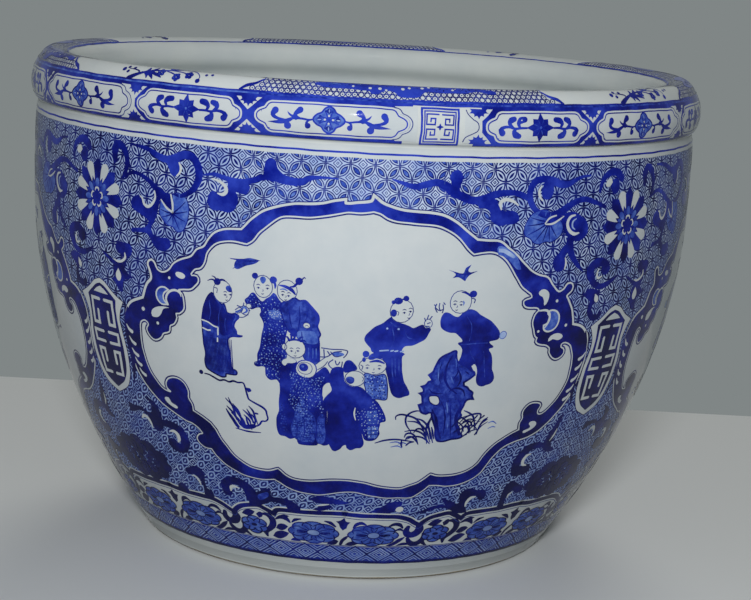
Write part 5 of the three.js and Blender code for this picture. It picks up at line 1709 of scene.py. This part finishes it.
def paint_body():
    base = Pen()
    base.belt("tint", 0, 0.4, UPPER_END)
    base.belt("low", 0, UPPER_END, LOWER_END)
    for v0, v1 in ((-4, -0.7), (-0.7, 0.35), (0.35, 2.4)):
        base.belt("white", 2, v0, v1)
    masks = [panel_pen(*panel, step=4).line(FRAME_OUT, True)[0] for panel in PANELS]

    def hidden(points):
        """Whether each point is well inside a panel, or above the line under the rim."""
        found = np.ones(len(points), bool)
        for shift in ((-5, 0), (5, 0), (0, -5), (0, 5)):
            hits = [inside(points + shift + [turn, 0], [mask]) for turn in (0, -TURN, TURN) for mask in masks]
            found &= np.any(hits, 0)
        return found | (points[:, 1] < 0)

    petal_diaper(columns=99, v0=-1.4, rise=7, rows=20, hidden=hidden)
    ring_diaper(columns=96, v0=129, rise=6.4, rows=15, hidden=hidden)
    for panel in PANELS:
        paint_frame(panel_pen(*panel))
        for paint in (paint_left_half, paint_right_half, paint_lower_left, paint_lower_right):
            paint(panel_pen(*panel, 1.0), panel_pen(*panel, 1.0, step=1))
    # A paler wash on the frame's right-hand shoulder, on the front panel only.
    pen = panel_pen(*PANELS[0], 1.0, step=1.4)
    pen.fill("mid", 4, "74.4,46.4 78.6,46.8 83.6,49.8 87,54 89,58.8! 86.6,58.6 82.4,54.8 78.4,51.6 74.8,50.6!")
    pen.fill("pale", 5, "74.8,47.2! 78.6,47.6 82.6,50 84.4,52.4 81,51.4 77.6,49.4 75,49.2!")
    for middle in EMBLEMS:
        paint_emblem(middle)
    for start in range(0, 360, 40):
        paint_border(start)
    paint_strip(base)


def paint_strip(base):
    """The narrow strip of diaper at the foot, and the lines that close the decoration."""
    base.belt("royal", 2, *STRIP)
    pitch = TURN / STRIP_CELLS
    middles = [((k + 0.5) * pitch, 246.3) for k in range(STRIP_CELLS)]
    for size, width, ink in ((6.6, 0.8, "deep"), (5.2, 0.95, "pale"), (3.5, 0.8, "pale"), (1.7, 0.8, "pale")):
        copies(ink, 3, *outline(diamond(size * 1.12, size), width), middles)
    for v, sign in ((240.6, 1), (252, -1)):
        ends = [(k * pitch, v) for k in range(STRIP_CELLS)]
        for size in (2.2, 4.2):
            foot = size * 1.12
            shape = (
                (-foot - 0.4, 0), (-foot + 0.4, 0), (0, sign * (size - 0.4)), (0, sign * (size + 0.4)),
                (foot - 0.4, 0), (foot + 0.4, 0),
            )
            copies("pale", 3, shape, [(0, 1, 2), (0, 2, 3), (4, 5, 3), (4, 3, 2)], ends)
    for ink, level, v0, v1 in (("fine", 4, 239, 239.6), ("deep", 4, 252.6, 254.6), ("deep", 3, -0.7, 0.35)):
        base.belt(ink, level, v0, v1)


# What the meshes are called, by ink and by zone.
NAMES = {
    "deep": "cobalt_masses", "royal": "royal_blue", "mid": "washes", "pale": "pale_washes", "tint": "tinted_ground",
    "low": "lower_ground", "white": "reserved_whites", "fine": "fine_lines", "line": "outlines",
}
ZONES = {"": "body", "rim": "rim", "scene": "figures", "diaper": "diaper"}


def build_sheets():
    for key, made in sorted(SHEETS.items()):
        ink, _, zone = key.partition("_")
        build_sheet(f"painted_{NAMES[ink]}_{ZONES[zone]}", made, INKS[ink])


build_skins()
paint_body()
paint_rim()
paint_scene()
build_sheets()

camera()
stage()
bpy.context.scene.view_settings.view_transform = "Standard"
